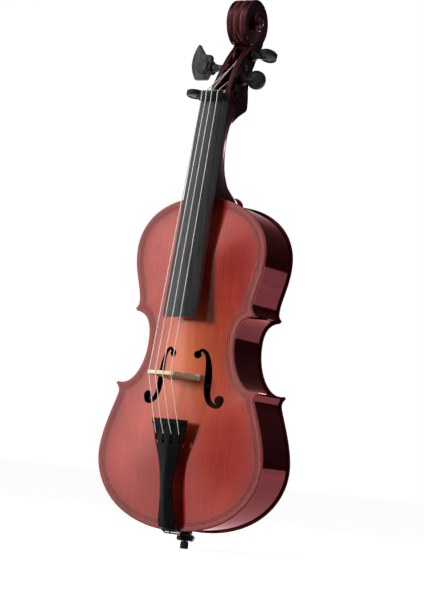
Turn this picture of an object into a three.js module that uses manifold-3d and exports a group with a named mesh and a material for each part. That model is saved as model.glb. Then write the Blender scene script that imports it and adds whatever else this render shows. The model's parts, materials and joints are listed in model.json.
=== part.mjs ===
// A full-size cello, built from its separate pieces. Millimetres, +Z up.
// X runs across the body (positive = treble side), -Y is the front (strings), +Z runs up the neck.
// Heights inside this file are measured from the bottom edge of the plates. The whole instrument
// is then lifted by BODY_LIFT, so that the origin is the middle of the endpin tip's flat end.
import * as THREE from 'three';
import { mergeVertices } from 'three/addons/utils/BufferGeometryUtils.js';
import Module from 'manifold-3d';

const wasm = await Module();
wasm.setup();

// ---------- driving dimensions ----------
const GAP = 0.3; // left between pieces that touch
const BODY_LIFT = 38; // bottom edge of the plates above the endpin tip
const BODY_LENGTH = 755;
const BODY_DEPTH = 130.2; // outside of the top plate's edge to outside of the back plate's edge
const PLATE_THICKNESS = 4.5;
const ARCH_HEIGHT = 22;
const OVERHANG = 5; // plate edge beyond the ribs
const RIB_THICKNESS = 2;
const LINING_THICKNESS = 3;
const LINING_HEIGHT = 16;

const LOWER_BOUT = { halfWidth: 216, height: 160 };
const LOWER_CORNER = { neck: [179, 303], tip: [188, 320], inner: [184, 325] };
const WAIST = { halfWidth: 113, height: 430 };
const UPPER_CORNER = { inner: [153, 489], tip: [157, 495], neck: [149, 512] };
const UPPER_BOUT = { halfWidth: 170, height: 625 };

const BRIDGE_HEIGHT_ON_BODY = 345; // stop line, from the bottom edge
const BRIDGE_TOP = -181.5;
const NUT_BOTTOM = 972;
const NUT_TOP = 992;
const BOARD_END = 474;
const STRING_SPREAD = { tailpiece: 60.8, bridge: 56.4, nut: 41 }; // outer string to outer string

const HALF_DEPTH = BODY_DEPTH / 2;
const RIB_HALF_DEPTH = HALF_DEPTH - PLATE_THICKNESS - GAP;

// ---------- small tools ----------
function lerp(a, b, t) {
  return a + (b - a) * t;
}

// Straight-line reading of a table of [key, value] rows.
function readTable(table, key) {
  if (key <= table[0][0]) return table[0][1];
  for (let i = 1; i < table.length; i++) {
    const [k0, v0] = table[i - 1];
    const [k1, v1] = table[i];
    if (key <= k1) return lerp(v0, v1, (key - k0) / (k1 - k0));
  }
  return table[table.length - 1][1];
}

function solidOf(geometry) {
  const bare = geometry.clone();
  for (const name of ['normal', 'uv']) bare.deleteAttribute(name);
  const merged = mergeVertices(bare, 1e-3);
  return new wasm.Manifold(new wasm.Mesh({
    numProp: 3,
    vertProperties: new Float32Array(merged.attributes.position.array),
    triVerts: new Uint32Array(merged.index.array),
  }));
}

function geometryOf(solid) {
  const mesh = solid.getMesh();
  const geometry = new THREE.BufferGeometry();
  geometry.setAttribute('position', new THREE.BufferAttribute(mesh.vertProperties, 3));
  geometry.setIndex(new THREE.BufferAttribute(mesh.triVerts, 1));
  return geometry;
}

function joined(geometries) {
  return geometryOf(geometries.map(solidOf).reduce((all, next) => all.add(next)));
}

function cut(geometry, cutters) {
  return geometryOf(cutters.map(solidOf).reduce((rest, cutter) => rest.subtract(cutter), solidOf(geometry)));
}

function common(geometryA, geometryB) {
  return geometryOf(solidOf(geometryA).intersect(solidOf(geometryB)));
}

function shapeOf(points) {
  return new THREE.Shape(points.map(([a, b]) => new THREE.Vector2(a, b)));
}

// Outline in (x, z), filled between two depths.
function frontPrism(points, yFrom, yTo) {
  const geometry = new THREE.ExtrudeGeometry(shapeOf(points), { depth: yTo - yFrom, bevelEnabled: false });
  return geometry.rotateX(Math.PI / 2).translate(0, yTo, 0);
}

// Outline in (y, z), filled between two x values.
function sidePrism(points, xFrom, xTo) {
  const geometry = new THREE.ExtrudeGeometry(shapeOf(points), { depth: xTo - xFrom, bevelEnabled: false });
  const turn = new THREE.Matrix4().makeBasis(
    new THREE.Vector3(0, 1, 0), new THREE.Vector3(0, 0, 1), new THREE.Vector3(1, 0, 0));
  return geometry.applyMatrix4(turn).translate(xFrom, 0, 0);
}

// Outline in (x, y), filled between two heights.
function topPrism(points, zFrom, zTo) {
  const geometry = new THREE.ExtrudeGeometry(shapeOf(points), { depth: zTo - zFrom, bevelEnabled: false });
  return geometry.translate(0, 0, zFrom);
}

function boxBetween(low, high) {
  const size = high.map((value, i) => value - low[i]);
  return new THREE.BoxGeometry(...size).translate(...high.map((value, i) => (value + low[i]) / 2));
}

// Rod along X or Z.
function rodX(xFrom, xTo, y, z, radius, sides) {
  return new THREE.CylinderGeometry(radius, radius, xTo - xFrom, sides)
    .rotateZ(-Math.PI / 2).translate((xFrom + xTo) / 2, y, z);
}

function rodZ(zFrom, zTo, x, y, radius, sides) {
  return new THREE.CylinderGeometry(radius, radius, zTo - zFrom, sides)
    .rotateX(Math.PI / 2).translate(x, y, (zFrom + zTo) / 2);
}

// Solids of revolution about Y or Z from a profile of [radius, distance along the axis] rows.
function turnedY(profile, sides) {
  return new THREE.LatheGeometry(profile.map(([r, h]) => new THREE.Vector2(r, h)), sides);
}

function turnedZ(profile, sides) {
  return turnedY(profile, sides).rotateX(Math.PI / 2);
}

function circlePoints(cx, cy, radius, sides) {
  return Array.from({ length: sides }, (_, i) => {
    const angle = (2 * Math.PI * i) / sides;
    return [cx + radius * Math.cos(angle), cy + radius * Math.sin(angle)];
  });
}

// Closed skin over rings of points, each ring [[x, y, z], ...] with the same number of points.
// cap: triangles, as indices into one ring, that close the last ring.
function skin(rings, cap) {
  const count = rings[0].length;
  const index = [];
  for (let r = 0; r + 1 < rings.length; r++) {
    for (let i = 0; i < count; i++) {
      const a = r * count + i;
      const b = r * count + ((i + 1) % count);
      index.push(a, b, b + count, a, b + count, a + count);
    }
  }
  const last = (rings.length - 1) * count;
  for (const [a, b, c] of cap) index.push(a, c, b, last + a, last + b, last + c);
  const geometry = new THREE.BufferGeometry();
  geometry.setAttribute('position', new THREE.Float32BufferAttribute(rings.flat().flat(), 3));
  geometry.setIndex(index);
  return geometry;
}

// Skin over rings that each lie at one height, counter-clockwise as seen from above.
function loft(rings) {
  const outline = rings[0].map(([x, y]) => new THREE.Vector2(x, y));
  return skin(rings, THREE.ShapeUtils.triangulateShape(outline, []));
}

// Round cord through a list of points, one ring of facets at every point.
function cordThrough(points, radius, sides) {
  const at = points.map((point) => new THREE.Vector3(...point));
  let side = null;
  const rings = at.map((point, i) => {
    const before = at[Math.max(i - 1, 0)];
    const after = at[Math.min(i + 1, at.length - 1)];
    const along = after.clone().sub(before).normalize();
    if (side === null) side = new THREE.Vector3(1, 0, 0).cross(along);
    side.addScaledVector(along, -side.dot(along)).normalize();
    const up = along.clone().cross(side);
    return circlePoints(0, 0, radius, sides).map(([a, b]) => {
      const offset = side.clone().multiplyScalar(a).addScaledVector(up, b);
      return point.clone().add(offset).toArray();
    });
  });
  return skin(rings, Array.from({ length: sides - 2 }, (_, i) => [0, i + 1, i + 2]));
}

// ---------- outline of the body ----------
function bezier(start, controlA, controlB, end, steps) {
  const vectors = [start, controlA, controlB, end].map(([x, z]) => new THREE.Vector2(x, z));
  return new THREE.CubicBezierCurve(...vectors).getPoints(steps).map((p) => [p.x, p.y]);
}

// Right half of the plate outline, bottom centre to top centre, one list for each bout.
const OUTLINE = {
  lower: [
    ...bezier([0, 0], [143, 0], [LOWER_BOUT.halfWidth, 83], [LOWER_BOUT.halfWidth, LOWER_BOUT.height], 12),
    ...bezier([LOWER_BOUT.halfWidth, LOWER_BOUT.height], [LOWER_BOUT.halfWidth, 215], [181, 285],
      LOWER_CORNER.neck, 8).slice(1),
    ...bezier(LOWER_CORNER.neck, [179, 309], [183, 316], LOWER_CORNER.tip, 3).slice(1),
  ],
  waist: [
    ...bezier(LOWER_CORNER.inner, [143, 315], [112, 372], [WAIST.halfWidth, WAIST.height], 9),
    ...bezier([WAIST.halfWidth, WAIST.height], [WAIST.halfWidth, 468], [127, 486],
      UPPER_CORNER.inner, 7).slice(1),
  ],
  upper: [
    ...bezier(UPPER_CORNER.tip, [151, 500], [149, 505], UPPER_CORNER.neck, 3),
    ...bezier(UPPER_CORNER.neck, [150, 545], [UPPER_BOUT.halfWidth, 575],
      [UPPER_BOUT.halfWidth, UPPER_BOUT.height], 7).slice(1),
    ...bezier([UPPER_BOUT.halfWidth, UPPER_BOUT.height], [UPPER_BOUT.halfWidth, 697], [108, BODY_LENGTH],
      [0, BODY_LENGTH], 12).slice(1),
  ],
};

const mirrored = (points) => points.map(([x, z]) => [-x, z]).reverse();
const rightHalf = [...OUTLINE.lower, ...OUTLINE.waist, ...OUTLINE.upper];
const bodyOutline = [...rightHalf.slice(0, -1), ...mirrored(rightHalf).slice(0, -1)];

// The same line moved into the body.
function inset(points, distance) {
  return points.map(([x, z], i) => {
    const [x0, z0] = points[Math.max(i - 1, 0)];
    const [x1, z1] = points[Math.min(i + 1, points.length - 1)];
    const length = Math.hypot(x1 - x0, z1 - z0);
    return [x - (distance * (z1 - z0)) / length, z + (distance * (x1 - x0)) / length];
  });
}

// ---------- arching of the plates ----------
const ARCH_REACH = [[0, 150], [160, 185], [300, 140], [430, 106], [520, 125], [625, 150], [755, 130]];
const ARCH_EDGE = 14; // flat band along the edge
const ARCH_GRID = { x: 234, columns: 18, bottom: -12, top: 792, rows: 30 };

function edgeDistance(x, z) {
  let nearest = Infinity;
  for (let i = 0; i < bodyOutline.length; i++) {
    const [ax, az] = bodyOutline[i];
    const [bx, bz] = bodyOutline[(i + 1) % bodyOutline.length];
    const t = ((x - ax) * (bx - ax) + (z - az) * (bz - az)) / ((bx - ax) ** 2 + (bz - az) ** 2);
    const s = Math.min(Math.max(t, 0), 1);
    nearest = Math.min(nearest, Math.hypot(x - lerp(ax, bx, s), z - lerp(az, bz, s)));
  }
  return nearest;
}

function insideOutline(x, z) {
  let inside = false;
  for (let i = 0; i < bodyOutline.length; i++) {
    const [ax, az] = bodyOutline[i];
    const [bx, bz] = bodyOutline[(i + 1) % bodyOutline.length];
    if (az > z !== bz > z && x < ((bx - ax) * (z - az)) / (bz - az) + ax) inside = !inside;
  }
  return inside;
}

function archAtNode(x, z) {
  if (!insideOutline(x, z)) return 0;
  const reach = readTable(ARCH_REACH, z) - ARCH_EDGE;
  const s = Math.min(Math.max((edgeDistance(x, z) - ARCH_EDGE) / reach, 0), 1);
  return ARCH_HEIGHT * s * s * (3 - 2 * s);
}

const gridX = (i) => lerp(-ARCH_GRID.x, ARCH_GRID.x, i / ARCH_GRID.columns);
const gridZ = (j) => lerp(ARCH_GRID.bottom, ARCH_GRID.top, j / ARCH_GRID.rows);
const archNodes = Array.from({ length: ARCH_GRID.rows + 1 }, (_, j) =>
  Array.from({ length: ARCH_GRID.columns + 1 }, (__, i) => archAtNode(gridX(i), gridZ(j))));

// Height of the faceted arch over the plate's flat edge, at any point.
function archHeight(x, z) {
  const fx = ((x + ARCH_GRID.x) / (2 * ARCH_GRID.x)) * ARCH_GRID.columns;
  const fz = ((z - ARCH_GRID.bottom) / (ARCH_GRID.top - ARCH_GRID.bottom)) * ARCH_GRID.rows;
  const i = Math.min(Math.max(Math.floor(fx), 0), ARCH_GRID.columns - 1);
  const j = Math.min(Math.max(Math.floor(fz), 0), ARCH_GRID.rows - 1);
  const u = fx - i;
  const v = fz - j;
  const [low, high] = [archNodes[j], archNodes[j + 1]];
  if (u >= v) return low[i] + (low[i + 1] - low[i]) * u + (high[i + 1] - low[i + 1]) * v;
  return low[i] + (high[i + 1] - high[i]) * u + (high[i] - low[i]) * v;
}

// Arched slab of plate thickness, larger than the plate. side: -1 front, +1 back.
function archedSlab(side) {
  const across = ARCH_GRID.columns + 1;
  const positions = [];
  for (const level of [HALF_DEPTH - PLATE_THICKNESS, HALF_DEPTH]) {
    for (let j = 0; j <= ARCH_GRID.rows; j++) {
      for (let i = 0; i <= ARCH_GRID.columns; i++) {
        positions.push(gridX(i), side * (level + archNodes[j][i]), gridZ(j));
      }
    }
  }
  const layer = across * (ARCH_GRID.rows + 1);
  const index = [];
  const quad = (a, b, c, d) => index.push(a, b, c, a, c, d);
  for (let j = 0; j < ARCH_GRID.rows; j++) {
    for (let i = 0; i < ARCH_GRID.columns; i++) {
      const a = j * across + i;
      quad(a, a + 1, a + across + 1, a + across);
      const [p, q, r, s] = [a, a + across, a + across + 1, a + 1].map((k) => k + layer);
      index.push(p, q, r, p, r, s);
    }
  }
  for (let i = 0; i < ARCH_GRID.columns; i++) {
    const top = ARCH_GRID.rows * across + i;
    quad(i, i + layer, i + 1 + layer, i + 1);
    quad(top, top + 1, top + 1 + layer, top + layer);
  }
  for (let j = 0; j < ARCH_GRID.rows; j++) {
    const a = j * across;
    const b = a + ARCH_GRID.columns;
    quad(a, a + across, a + across + layer, a + layer);
    quad(b, b + layer, b + across + layer, b + across);
  }
  if (side < 0) {
    for (let k = 0; k < index.length; k += 3) [index[k], index[k + 1]] = [index[k + 1], index[k]];
  }
  const geometry = new THREE.BufferGeometry();
  geometry.setAttribute('position', new THREE.Float32BufferAttribute(positions, 3));
  geometry.setIndex(index);
  return geometry;
}

// ---------- sound holes ----------
const F_UPPER_EYE = { at: [32, 396.5], radius: 8.8 };
const F_LOWER_EYE = { at: [94, 298], radius: 11 };
const F_LINE = [[34, 402], [42, 407], [50.5, 401.5], [56.5, 388], [60, 369], [61.8, 346], [62.5, 325],
  [65.5, 306], [73, 291.5], [85, 284.5], [96, 286], [101, 295]];
const F_HALF_WIDTHS = [[0, 3], [0.15, 4.8], [0.4, 8.2], [0.62, 8], [0.85, 5.2], [1, 3.4]];

function strokeOutline(line, halfWidths, steps) {
  const curve = new THREE.CatmullRomCurve3(line.map(([x, z]) => new THREE.Vector3(x, z, 0)));
  const left = [];
  const right = [];
  for (let i = 0; i <= steps; i++) {
    const t = i / steps;
    const point = curve.getPointAt(t);
    const along = curve.getTangentAt(t);
    const half = readTable(halfWidths, t);
    left.push([point.x - along.y * half, point.y + along.x * half]);
    right.push([point.x + along.y * half, point.y - along.x * half]);
  }
  return [...right, ...left.reverse()];
}

function soundHoleCutters() {
  const from = -HALF_DEPTH - ARCH_HEIGHT - 2;
  const to = -HALF_DEPTH + PLATE_THICKNESS + 2;
  const stroke = strokeOutline(F_LINE, F_HALF_WIDTHS, 22);
  const cutters = [];
  for (const side of [1, -1]) {
    const eye = ({ at, radius }) => circlePoints(side * at[0], at[1], radius, 14);
    cutters.push(frontPrism(side > 0 ? stroke : mirrored(stroke), from, to));
    cutters.push(frontPrism(eye(F_UPPER_EYE), from, to));
    cutters.push(frontPrism(eye(F_LOWER_EYE), from, to));
  }
  return cutters;
}

// ---------- neck line and fingerboard line ----------
const GLUE_SLOPE = 0.111; // front of the neck leans this much forward on the way down
const glueLine = (z) => -60.5 - GLUE_SLOPE * (979 - z); // front face of the neck
const boardHalfWidth = (z) => 29.1 + 0.0251 * (979 - z);
const boardEdge = (z) => -84.5 - 0.0873 * (979 - z); // playing surface at its long edges
const BOARD_RADIUS = 75;
const TENON = { halfWidth: 20, bottom: 738, top: 752 };
const NECK_FOOT = 750.3;
const NECK_FOOT_HALF_WIDTH = 33.4;

// ---------- plates ----------
function plateBlank(side, outline) {
  const reach = HALF_DEPTH + ARCH_HEIGHT + 5;
  const [from, to] = side < 0 ? [-reach, -RIB_HALF_DEPTH + 20] : [RIB_HALF_DEPTH - 20, reach];
  return common(archedSlab(side), frontPrism(outline, from, to));
}

const SADDLE = { halfWidth: 20, bottom: -1.5, top: 9, front: -76 };

function topPlate() {
  const cutters = soundHoleCutters();
  const neckHalf = NECK_FOOT_HALF_WIDTH + GAP;
  const saddleHalf = SADDLE.halfWidth + GAP;
  cutters.push(boxBetween([-neckHalf, -110, NECK_FOOT - GAP], [neckHalf, 0, 800]));
  cutters.push(boxBetween([-saddleHalf, -110, -20], [saddleHalf, 0, SADDLE.top + GAP]));
  return cut(plateBlank(-1, bodyOutline), cutters);
}

const BUTTON = { height: 750, radius: 25 };

function backPlate() {
  const reach = HALF_DEPTH + 20;
  const disc = frontPrism(circlePoints(0, BUTTON.height, BUTTON.radius, 20), 20, reach);
  const button = common(archedSlab(1), disc);
  return joined([plateBlank(1, bodyOutline), button]);
}

// ---------- ribs, linings and blocks ----------
function band(line, outer, thickness, yFrom, yTo) {
  return frontPrism([...inset(line, outer), ...inset(line, outer + thickness).reverse()], yFrom, yTo);
}

function mirrorX(geometry) {
  return geometryOf(solidOf(geometry).mirror([1, 0, 0]));
}

const clipAbove = (line, x) => line.filter(([px]) => px > x);
const RIB_LINES = {
  lower: [[3 * GAP, 0], ...OUTLINE.lower.slice(1, -2)],
  waist: OUTLINE.waist.slice(1, -1),
  upper: [...clipAbove(OUTLINE.upper.slice(2), TENON.halfWidth + 2),
    [TENON.halfWidth + 1, BODY_LENGTH - 0.6]],
};

const COLLAR_SHANK_RADIUS = 13;
const collarHole = () => rodZ(-20, 60, 0, 0, COLLAR_SHANK_RADIUS + 2 * GAP, 24);

function rib(bout) {
  const whole = band(RIB_LINES[bout], OVERHANG, RIB_THICKNESS, -RIB_HALF_DEPTH, RIB_HALF_DEPTH);
  return bout === 'lower' ? cut(whole, [collarHole()]) : whole;
}

const LINING_INSET = OVERHANG + RIB_THICKNESS + GAP;
const END_BLOCK = { halfWidth: 42, depth: 36 };
const TOP_BLOCK = { halfWidth: 42, bottom: 710 };
const LINING_LINES = {
  lower: clipAbove(OUTLINE.lower, END_BLOCK.halfWidth + 12).slice(0, -6),
  waist: OUTLINE.waist.slice(4, -4),
  upper: clipAbove(OUTLINE.upper.slice(5), TOP_BLOCK.halfWidth + 12),
};

function lining(bout, side) {
  const edge = side * RIB_HALF_DEPTH;
  const [from, to] = side < 0 ? [edge, edge + LINING_HEIGHT] : [edge - LINING_HEIGHT, edge];
  return band(LINING_LINES[bout], LINING_INSET, LINING_THICKNESS, from, to);
}

function endBlock() {
  const line = OUTLINE.lower.filter(([x]) => x < END_BLOCK.halfWidth + 8);
  const half = inset(line, LINING_INSET).filter(([x]) => x < END_BLOCK.halfWidth);
  const outer = [...mirrored(half).slice(0, -1), ...half];
  const side = half[half.length - 1][0];
  const outline = [...outer, [side, END_BLOCK.depth], [-side, END_BLOCK.depth]];
  const block = frontPrism(outline, -RIB_HALF_DEPTH, RIB_HALF_DEPTH);
  return cut(block, [collarHole()]);
}

function topBlock() {
  const line = OUTLINE.upper.filter(([x]) => x < TOP_BLOCK.halfWidth + 12);
  const half = inset(line, LINING_INSET);
  const outer = [...half, ...mirrored(half).slice(1)];
  const side = half[0][0];
  const outline = [[-side, TOP_BLOCK.bottom], [side, TOP_BLOCK.bottom], ...outer];
  const block = frontPrism(outline, -RIB_HALF_DEPTH, RIB_HALF_DEPTH);
  const slotHalf = TENON.halfWidth + GAP;
  const tenon = boxBetween([-slotHalf, -90, TENON.bottom - GAP], [slotHalf, 90, 800]);
  return cut(block, [tenon]);
}

function cornerBlock(sideLine, waistLine) {
  const inner = [...inset(sideLine, LINING_INSET), ...inset(waistLine, LINING_INSET)];
  return frontPrism(inner, -RIB_HALF_DEPTH, RIB_HALF_DEPTH);
}

function lowerCornerBlock() {
  return cornerBlock(OUTLINE.lower.slice(-6, -2), OUTLINE.waist.slice(1, 4));
}

function upperCornerBlock() {
  return cornerBlock(OUTLINE.waist.slice(-4, -1), OUTLINE.upper.slice(2, 5));
}

// ---------- inside the body ----------
const BASS_BAR = { x: -17, width: 9, bottom: 110, top: 640, depth: 17 };
const SOUND_POST = { x: 26, height: 331, radius: 5.5 };

function innerFace(x, z, margin) {
  const around = [[0, 0], [margin, 0], [-margin, 0], [0, margin], [0, -margin]];
  const lowest = Math.min(...around.map(([dx, dz]) => archHeight(x + dx, z + dz)));
  return HALF_DEPTH - PLATE_THICKNESS - GAP + lowest;
}

function bassBar() {
  const steps = 12;
  const top = [];
  const bottom = [];
  for (let i = 0; i <= steps; i++) {
    const z = lerp(BASS_BAR.bottom, BASS_BAR.top, i / steps);
    const y = -innerFace(BASS_BAR.x, z, BASS_BAR.width) + 0.6;
    top.push([y, z]);
    bottom.push([y + 4 + (BASS_BAR.depth - 4) * Math.sin((Math.PI * i) / steps), z]);
  }
  const halfWidth = BASS_BAR.width / 2;
  return sidePrism([...top, ...bottom.reverse()], BASS_BAR.x - halfWidth, BASS_BAR.x + halfWidth);
}

function soundPost() {
  const reach = innerFace(SOUND_POST.x, SOUND_POST.height, SOUND_POST.radius);
  return new THREE.CylinderGeometry(SOUND_POST.radius, SOUND_POST.radius, 2 * reach, 14)
    .translate(SOUND_POST.x, 0, SOUND_POST.height);
}

// ---------- neck, pegbox and scroll ----------
const NECK_BACK = [[750, 60.2], [757, 50], [768, 30], [785, 1], [812, -21], [835, -30], [860, -34],
  [890, -34], [922, -26], [940, -16], [952, -6], [966, 10], [978, 20]];
const PEGBOX_HALF_WIDTH = [[900, 12], [930, 15], [940, 18.3], [952, 22], [961, 24.7], [969, 26.7],
  [980, 28.2], [985, 28.2], [1000, 27.6], [1015, 25.8], [1030, 24.6], [1075, 23.2], [1130, 24], [1240, 24]];

function neckRing(z) {
  const front = glueLine(z);
  const back = readTable(NECK_BACK, z);
  const depth = back - front;
  const half = Math.min(boardHalfWidth(z) - 0.6, NECK_FOOT_HALF_WIDTH);
  const heelShare = readTable([[750, 1], [790, 0]], z);
  const backHalf = lerp(half, 23, heelShare);
  const shoulder = lerp(0.55, 0.86, heelShare);
  const flank = lerp(half, backHalf, 0.4);
  const flankDepth = front + depth * shoulder * 0.6;
  const ring = [[-half, front, z], [half, front, z], [flank, flankDepth, z]];
  const roundFrom = front + depth * shoulder;
  const corner = back - roundFrom;
  for (let i = 0; i <= 8; i++) {
    const angle = (Math.PI * i) / 8;
    const squared = Math.sign(Math.cos(angle)) * Math.abs(Math.cos(angle)) ** 0.75;
    ring.push([backHalf * squared, roundFrom + corner * Math.sin(angle) ** 0.75, z]);
  }
  ring.push([-flank, flankDepth, z]);
  return ring;
}

function neckShaft() {
  const heights = [NECK_FOOT, 757, 768, 785, 800, 818, 840, 875, 905, 930, 940, 953, 966, 978];
  return loft(heights.map(neckRing));
}

const PEGBOX_FRONT = [[glueLine(NUT_TOP), NUT_TOP], [-55, 1000], [-50, 1015], [-43, 1030], [-27, 1060],
  [-7, 1090], [8, 1108], [22, 1124], [30, 1140]];
const PEGBOX_BACK = [[84, 1160], [76, 1132], [58, 1100], [45, 1072], [35, 1048], [31.5, 1029], [31, 1005],
  [30.5, 980], [29, 974], [24, 969], [12, 961], [0, 952], [-12, 940], [-22, 930]];

function halfWidthPrism(table, growth) {
  const right = table.map(([z, half]) => [half + growth, z]);
  return frontPrism([...right, ...mirrored(right)], -120, 120);
}

function pegboxBlank() {
  const profile = [[glueLine(930), 930], ...PEGBOX_FRONT, ...PEGBOX_BACK];
  return common(sidePrism(profile, -40, 40), halfWidthPrism(PEGBOX_HALF_WIDTH, 0));
}

const CAVITY_HALF_WIDTH = [[980, 15], [1040, 12], [1120, 10]];

function pegboxCavity() {
  const floor = [[14, 994], [15, 1029], [29, 1072], [43, 1096], [42, 1112], [26, 1121]];
  const profile = [[-120, 994], ...floor, [-120, 1121]];
  return common(sidePrism(profile, -40, 40), halfWidthPrism(CAVITY_HALF_WIDTH, 0));
}

// Each turn of the scroll stands out further and is smaller than the one before.
const VOLUTE_TURNS = [
  { y: 38, z: 1182, radius: 55.5, halfWidth: 24, sides: 36 },
  { y: 40, z: 1187, radius: 34, halfWidth: 27, sides: 28 },
  { y: 41, z: 1188, radius: 21, halfWidth: 31, sides: 22 },
  { y: 42, z: 1188, radius: 10, halfWidth: 36, sides: 16 },
];

function scrollTurns() {
  return VOLUTE_TURNS.map(({ y, z, radius, halfWidth, sides }) =>
    rodX(-halfWidth, halfWidth, y, z, radius, sides));
}

// ---------- pegs ----------
// side: -1 head on the bass side, +1 on the treble side. reach: pegbox wall to the middle of the head.
const PEGS = {
  c: { side: -1, y: -23, z: 1003, wall: 28.6, reach: 54, turn: 84, head: 'round' },
  a: { side: 1, y: -7, z: 1038, wall: 25.6, reach: 40, turn: 4, head: 'round' },
  g: { side: -1, y: 10, z: 1072, wall: 24.8, reach: 66.6, turn: 0, head: 'leaf' },
  d: { side: 1, y: 32, z: 1104, wall: 25, reach: 42, turn: 68, head: 'round' },
};
const PEG_RADIUS = 6.5;
const PEG_HOLE_RADIUS = 7.1;
const PEG_HEAD_RADIUS = 22;
const PEG_HEAD_THICKNESS = 13;
// The leaf-shaped head carries a round boss on its face and a flange on its stem.
const LEAF_BOSS = { x: 5, z: 2, profile: [[0, -16.5], [10, -15.5], [17.5, -10], [17.5, -5], [0, -5]] };
const LEAF_FLANGE = { from: 64, to: 66.5, radius: 16.5 };

function pegHeadOutline(kind) {
  if (kind === 'round') return circlePoints(0, 0, PEG_HEAD_RADIUS, 22);
  const tip = bezier([4, 32], [-2, 40], [-9, 48], [-13.6, 56.5], 4);
  const outside = bezier([-13.6, 56.5], [-24, 42], [-29, 24], [-29, 7], 6).slice(1);
  const foot = bezier([-29, 7], [-28, -8], [-22, -18], [-16.6, -28], 4).slice(1);
  const inside = bezier([14, -28], [20, -20], [24, -10], [24, 4], 4);
  return [...tip, ...outside, ...foot, ...inside, [24, 25], [20, 31]];
}

function leafTrim(outer) {
  const boss = turnedY(LEAF_BOSS.profile, 20).translate(LEAF_BOSS.x - outer, 0, LEAF_BOSS.z);
  return [boss, rodX(-LEAF_FLANGE.to, -LEAF_FLANGE.from, 0, 0, LEAF_FLANGE.radius, 20)];
}

function peg({ side, y, z, wall, reach, turn, head }) {
  const outer = wall + reach;
  const profile = [[0, -wall - 1.5], [PEG_RADIUS, -wall - 1.5], [PEG_RADIUS, wall - 0.2], [10, wall + 0.6],
    [12.5, wall + 3], [12.5, wall + 6], [7.5, wall + 9], [7, wall + 15], [9, outer - PEG_HEAD_RADIUS + 6],
    [9, outer], [0, outer]];
  const stem = turnedY(profile, 18).rotateZ(-Math.PI / 2);
  const plate = new THREE.ExtrudeGeometry(shapeOf(pegHeadOutline(head)), {
    depth: PEG_HEAD_THICKNESS - 4, bevelThickness: 2, bevelSize: 2, bevelOffset: -2, bevelSegments: 1,
  });
  plate.translate(0, 0, -PEG_HEAD_THICKNESS / 2 + 2).rotateX(Math.PI / 2);
  plate.rotateX(THREE.MathUtils.degToRad(turn));
  const placedPlate = side > 0 ? plate.translate(outer, 0, 0) : plate.translate(-outer, 0, 0);
  const placedStem = side > 0 ? stem : stem.rotateZ(Math.PI);
  const trim = head === 'leaf' ? leafTrim(outer) : [];
  return joined([placedStem, placedPlate, ...trim]).translate(0, y, z);
}

function neckWithScroll() {
  const block = boxBetween([-TENON.halfWidth, -RIB_HALF_DEPTH, TENON.bottom],
    [TENON.halfWidth, RIB_HALF_DEPTH, TENON.top]);
  const blank = joined([neckShaft(), block, pegboxBlank(), ...scrollTurns()]);
  const holes = Object.values(PEGS).map(({ y, z }) => rodX(-60, 60, y, z, PEG_HOLE_RADIUS, 24));
  return cut(blank, [pegboxCavity(), ...holes]);
}

// ---------- fingerboard and nut ----------
function boardRing(z) {
  const half = boardHalfWidth(z);
  const edge = boardEdge(z);
  const back = glueLine(z) - GAP;
  const ring = [[half, back, z], [-half, back, z]];
  for (let i = 0; i <= 8; i++) {
    const x = lerp(-half, half, i / 8);
    const rise = Math.sqrt(BOARD_RADIUS ** 2 - x ** 2) - Math.sqrt(BOARD_RADIUS ** 2 - half ** 2);
    ring.push([x, edge - rise, z]);
  }
  return ring;
}

function fingerboard() {
  return loft([BOARD_END, 640, 800, NUT_BOTTOM - GAP].map(boardRing));
}

// ---------- strings ----------
const STRINGS = [
  { name: 'string_c', place: -1, peg: 'c', coil: -6.5, radius: 1.15 },
  { name: 'string_g', place: -1 / 3, peg: 'g', coil: -4, radius: 1.05 },
  { name: 'string_d', place: 1 / 3, peg: 'd', coil: 3, radius: 0.95 },
  { name: 'string_a', place: 1, peg: 'a', coil: 6, radius: 0.9 },
];
const STRING_CROWN = 4; // inner strings stand this much further out than the outer ones
const NUT_OUTER_STRING = -98;
const BRIDGE_OUTER_STRING = -182;
const TAILPIECE_RIDGE = { z: 238, y: -134.5 };
const stringCrown = (place) => STRING_CROWN * (1 - place * place);

function stringPlaces({ place }) {
  const crown = stringCrown(place);
  const across = (spread) => (place * spread) / 2;
  const { tailpiece: atTail, bridge: atBridge, nut: atNut } = STRING_SPREAD;
  return {
    slot: [across(atTail), -123, 214],
    ridge: [across(atTail), TAILPIECE_RIDGE.y - crown, TAILPIECE_RIDGE.z],
    bridge: [across(atBridge), BRIDGE_OUTER_STRING - crown, BRIDGE_HEIGHT_ON_BODY],
    nut: [across(atNut), NUT_OUTER_STRING - crown, NUT_BOTTOM + 2],
    nutEnd: [across(atNut), NUT_OUTER_STRING - crown, NUT_TOP - 3],
  };
}

function stringPath(string) {
  const { slot, ridge, bridge, nut, nutEnd } = stringPlaces(string);
  const { y, z } = PEGS[string.peg];
  const reel = PEG_RADIUS + GAP + string.radius;
  const turns = 2.25;
  const steps = 22;
  const pitch = 2 * string.radius + GAP;
  const leave = Math.atan2(NUT_TOP + 2 - z, nutEnd[1] - y) - Math.PI / 2 + 0.1;
  const coil = Array.from({ length: steps + 1 }, (_, i) => {
    const angle = leave - (2 * Math.PI * turns * i) / steps;
    const x = string.coil - Math.sign(string.place) * pitch * turns * (i / steps);
    return [x, y + reel * Math.cos(angle), z + reel * Math.sin(angle)];
  });
  const overNut = [nutEnd[0], nutEnd[1] + 1.2, NUT_TOP + 1.5 + string.radius];
  return [slot, ridge, bridge, nut, nutEnd, overNut, ...coil];
}

function stringSolid(string) {
  return cordThrough(stringPath(string), string.radius, 6);
}

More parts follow.
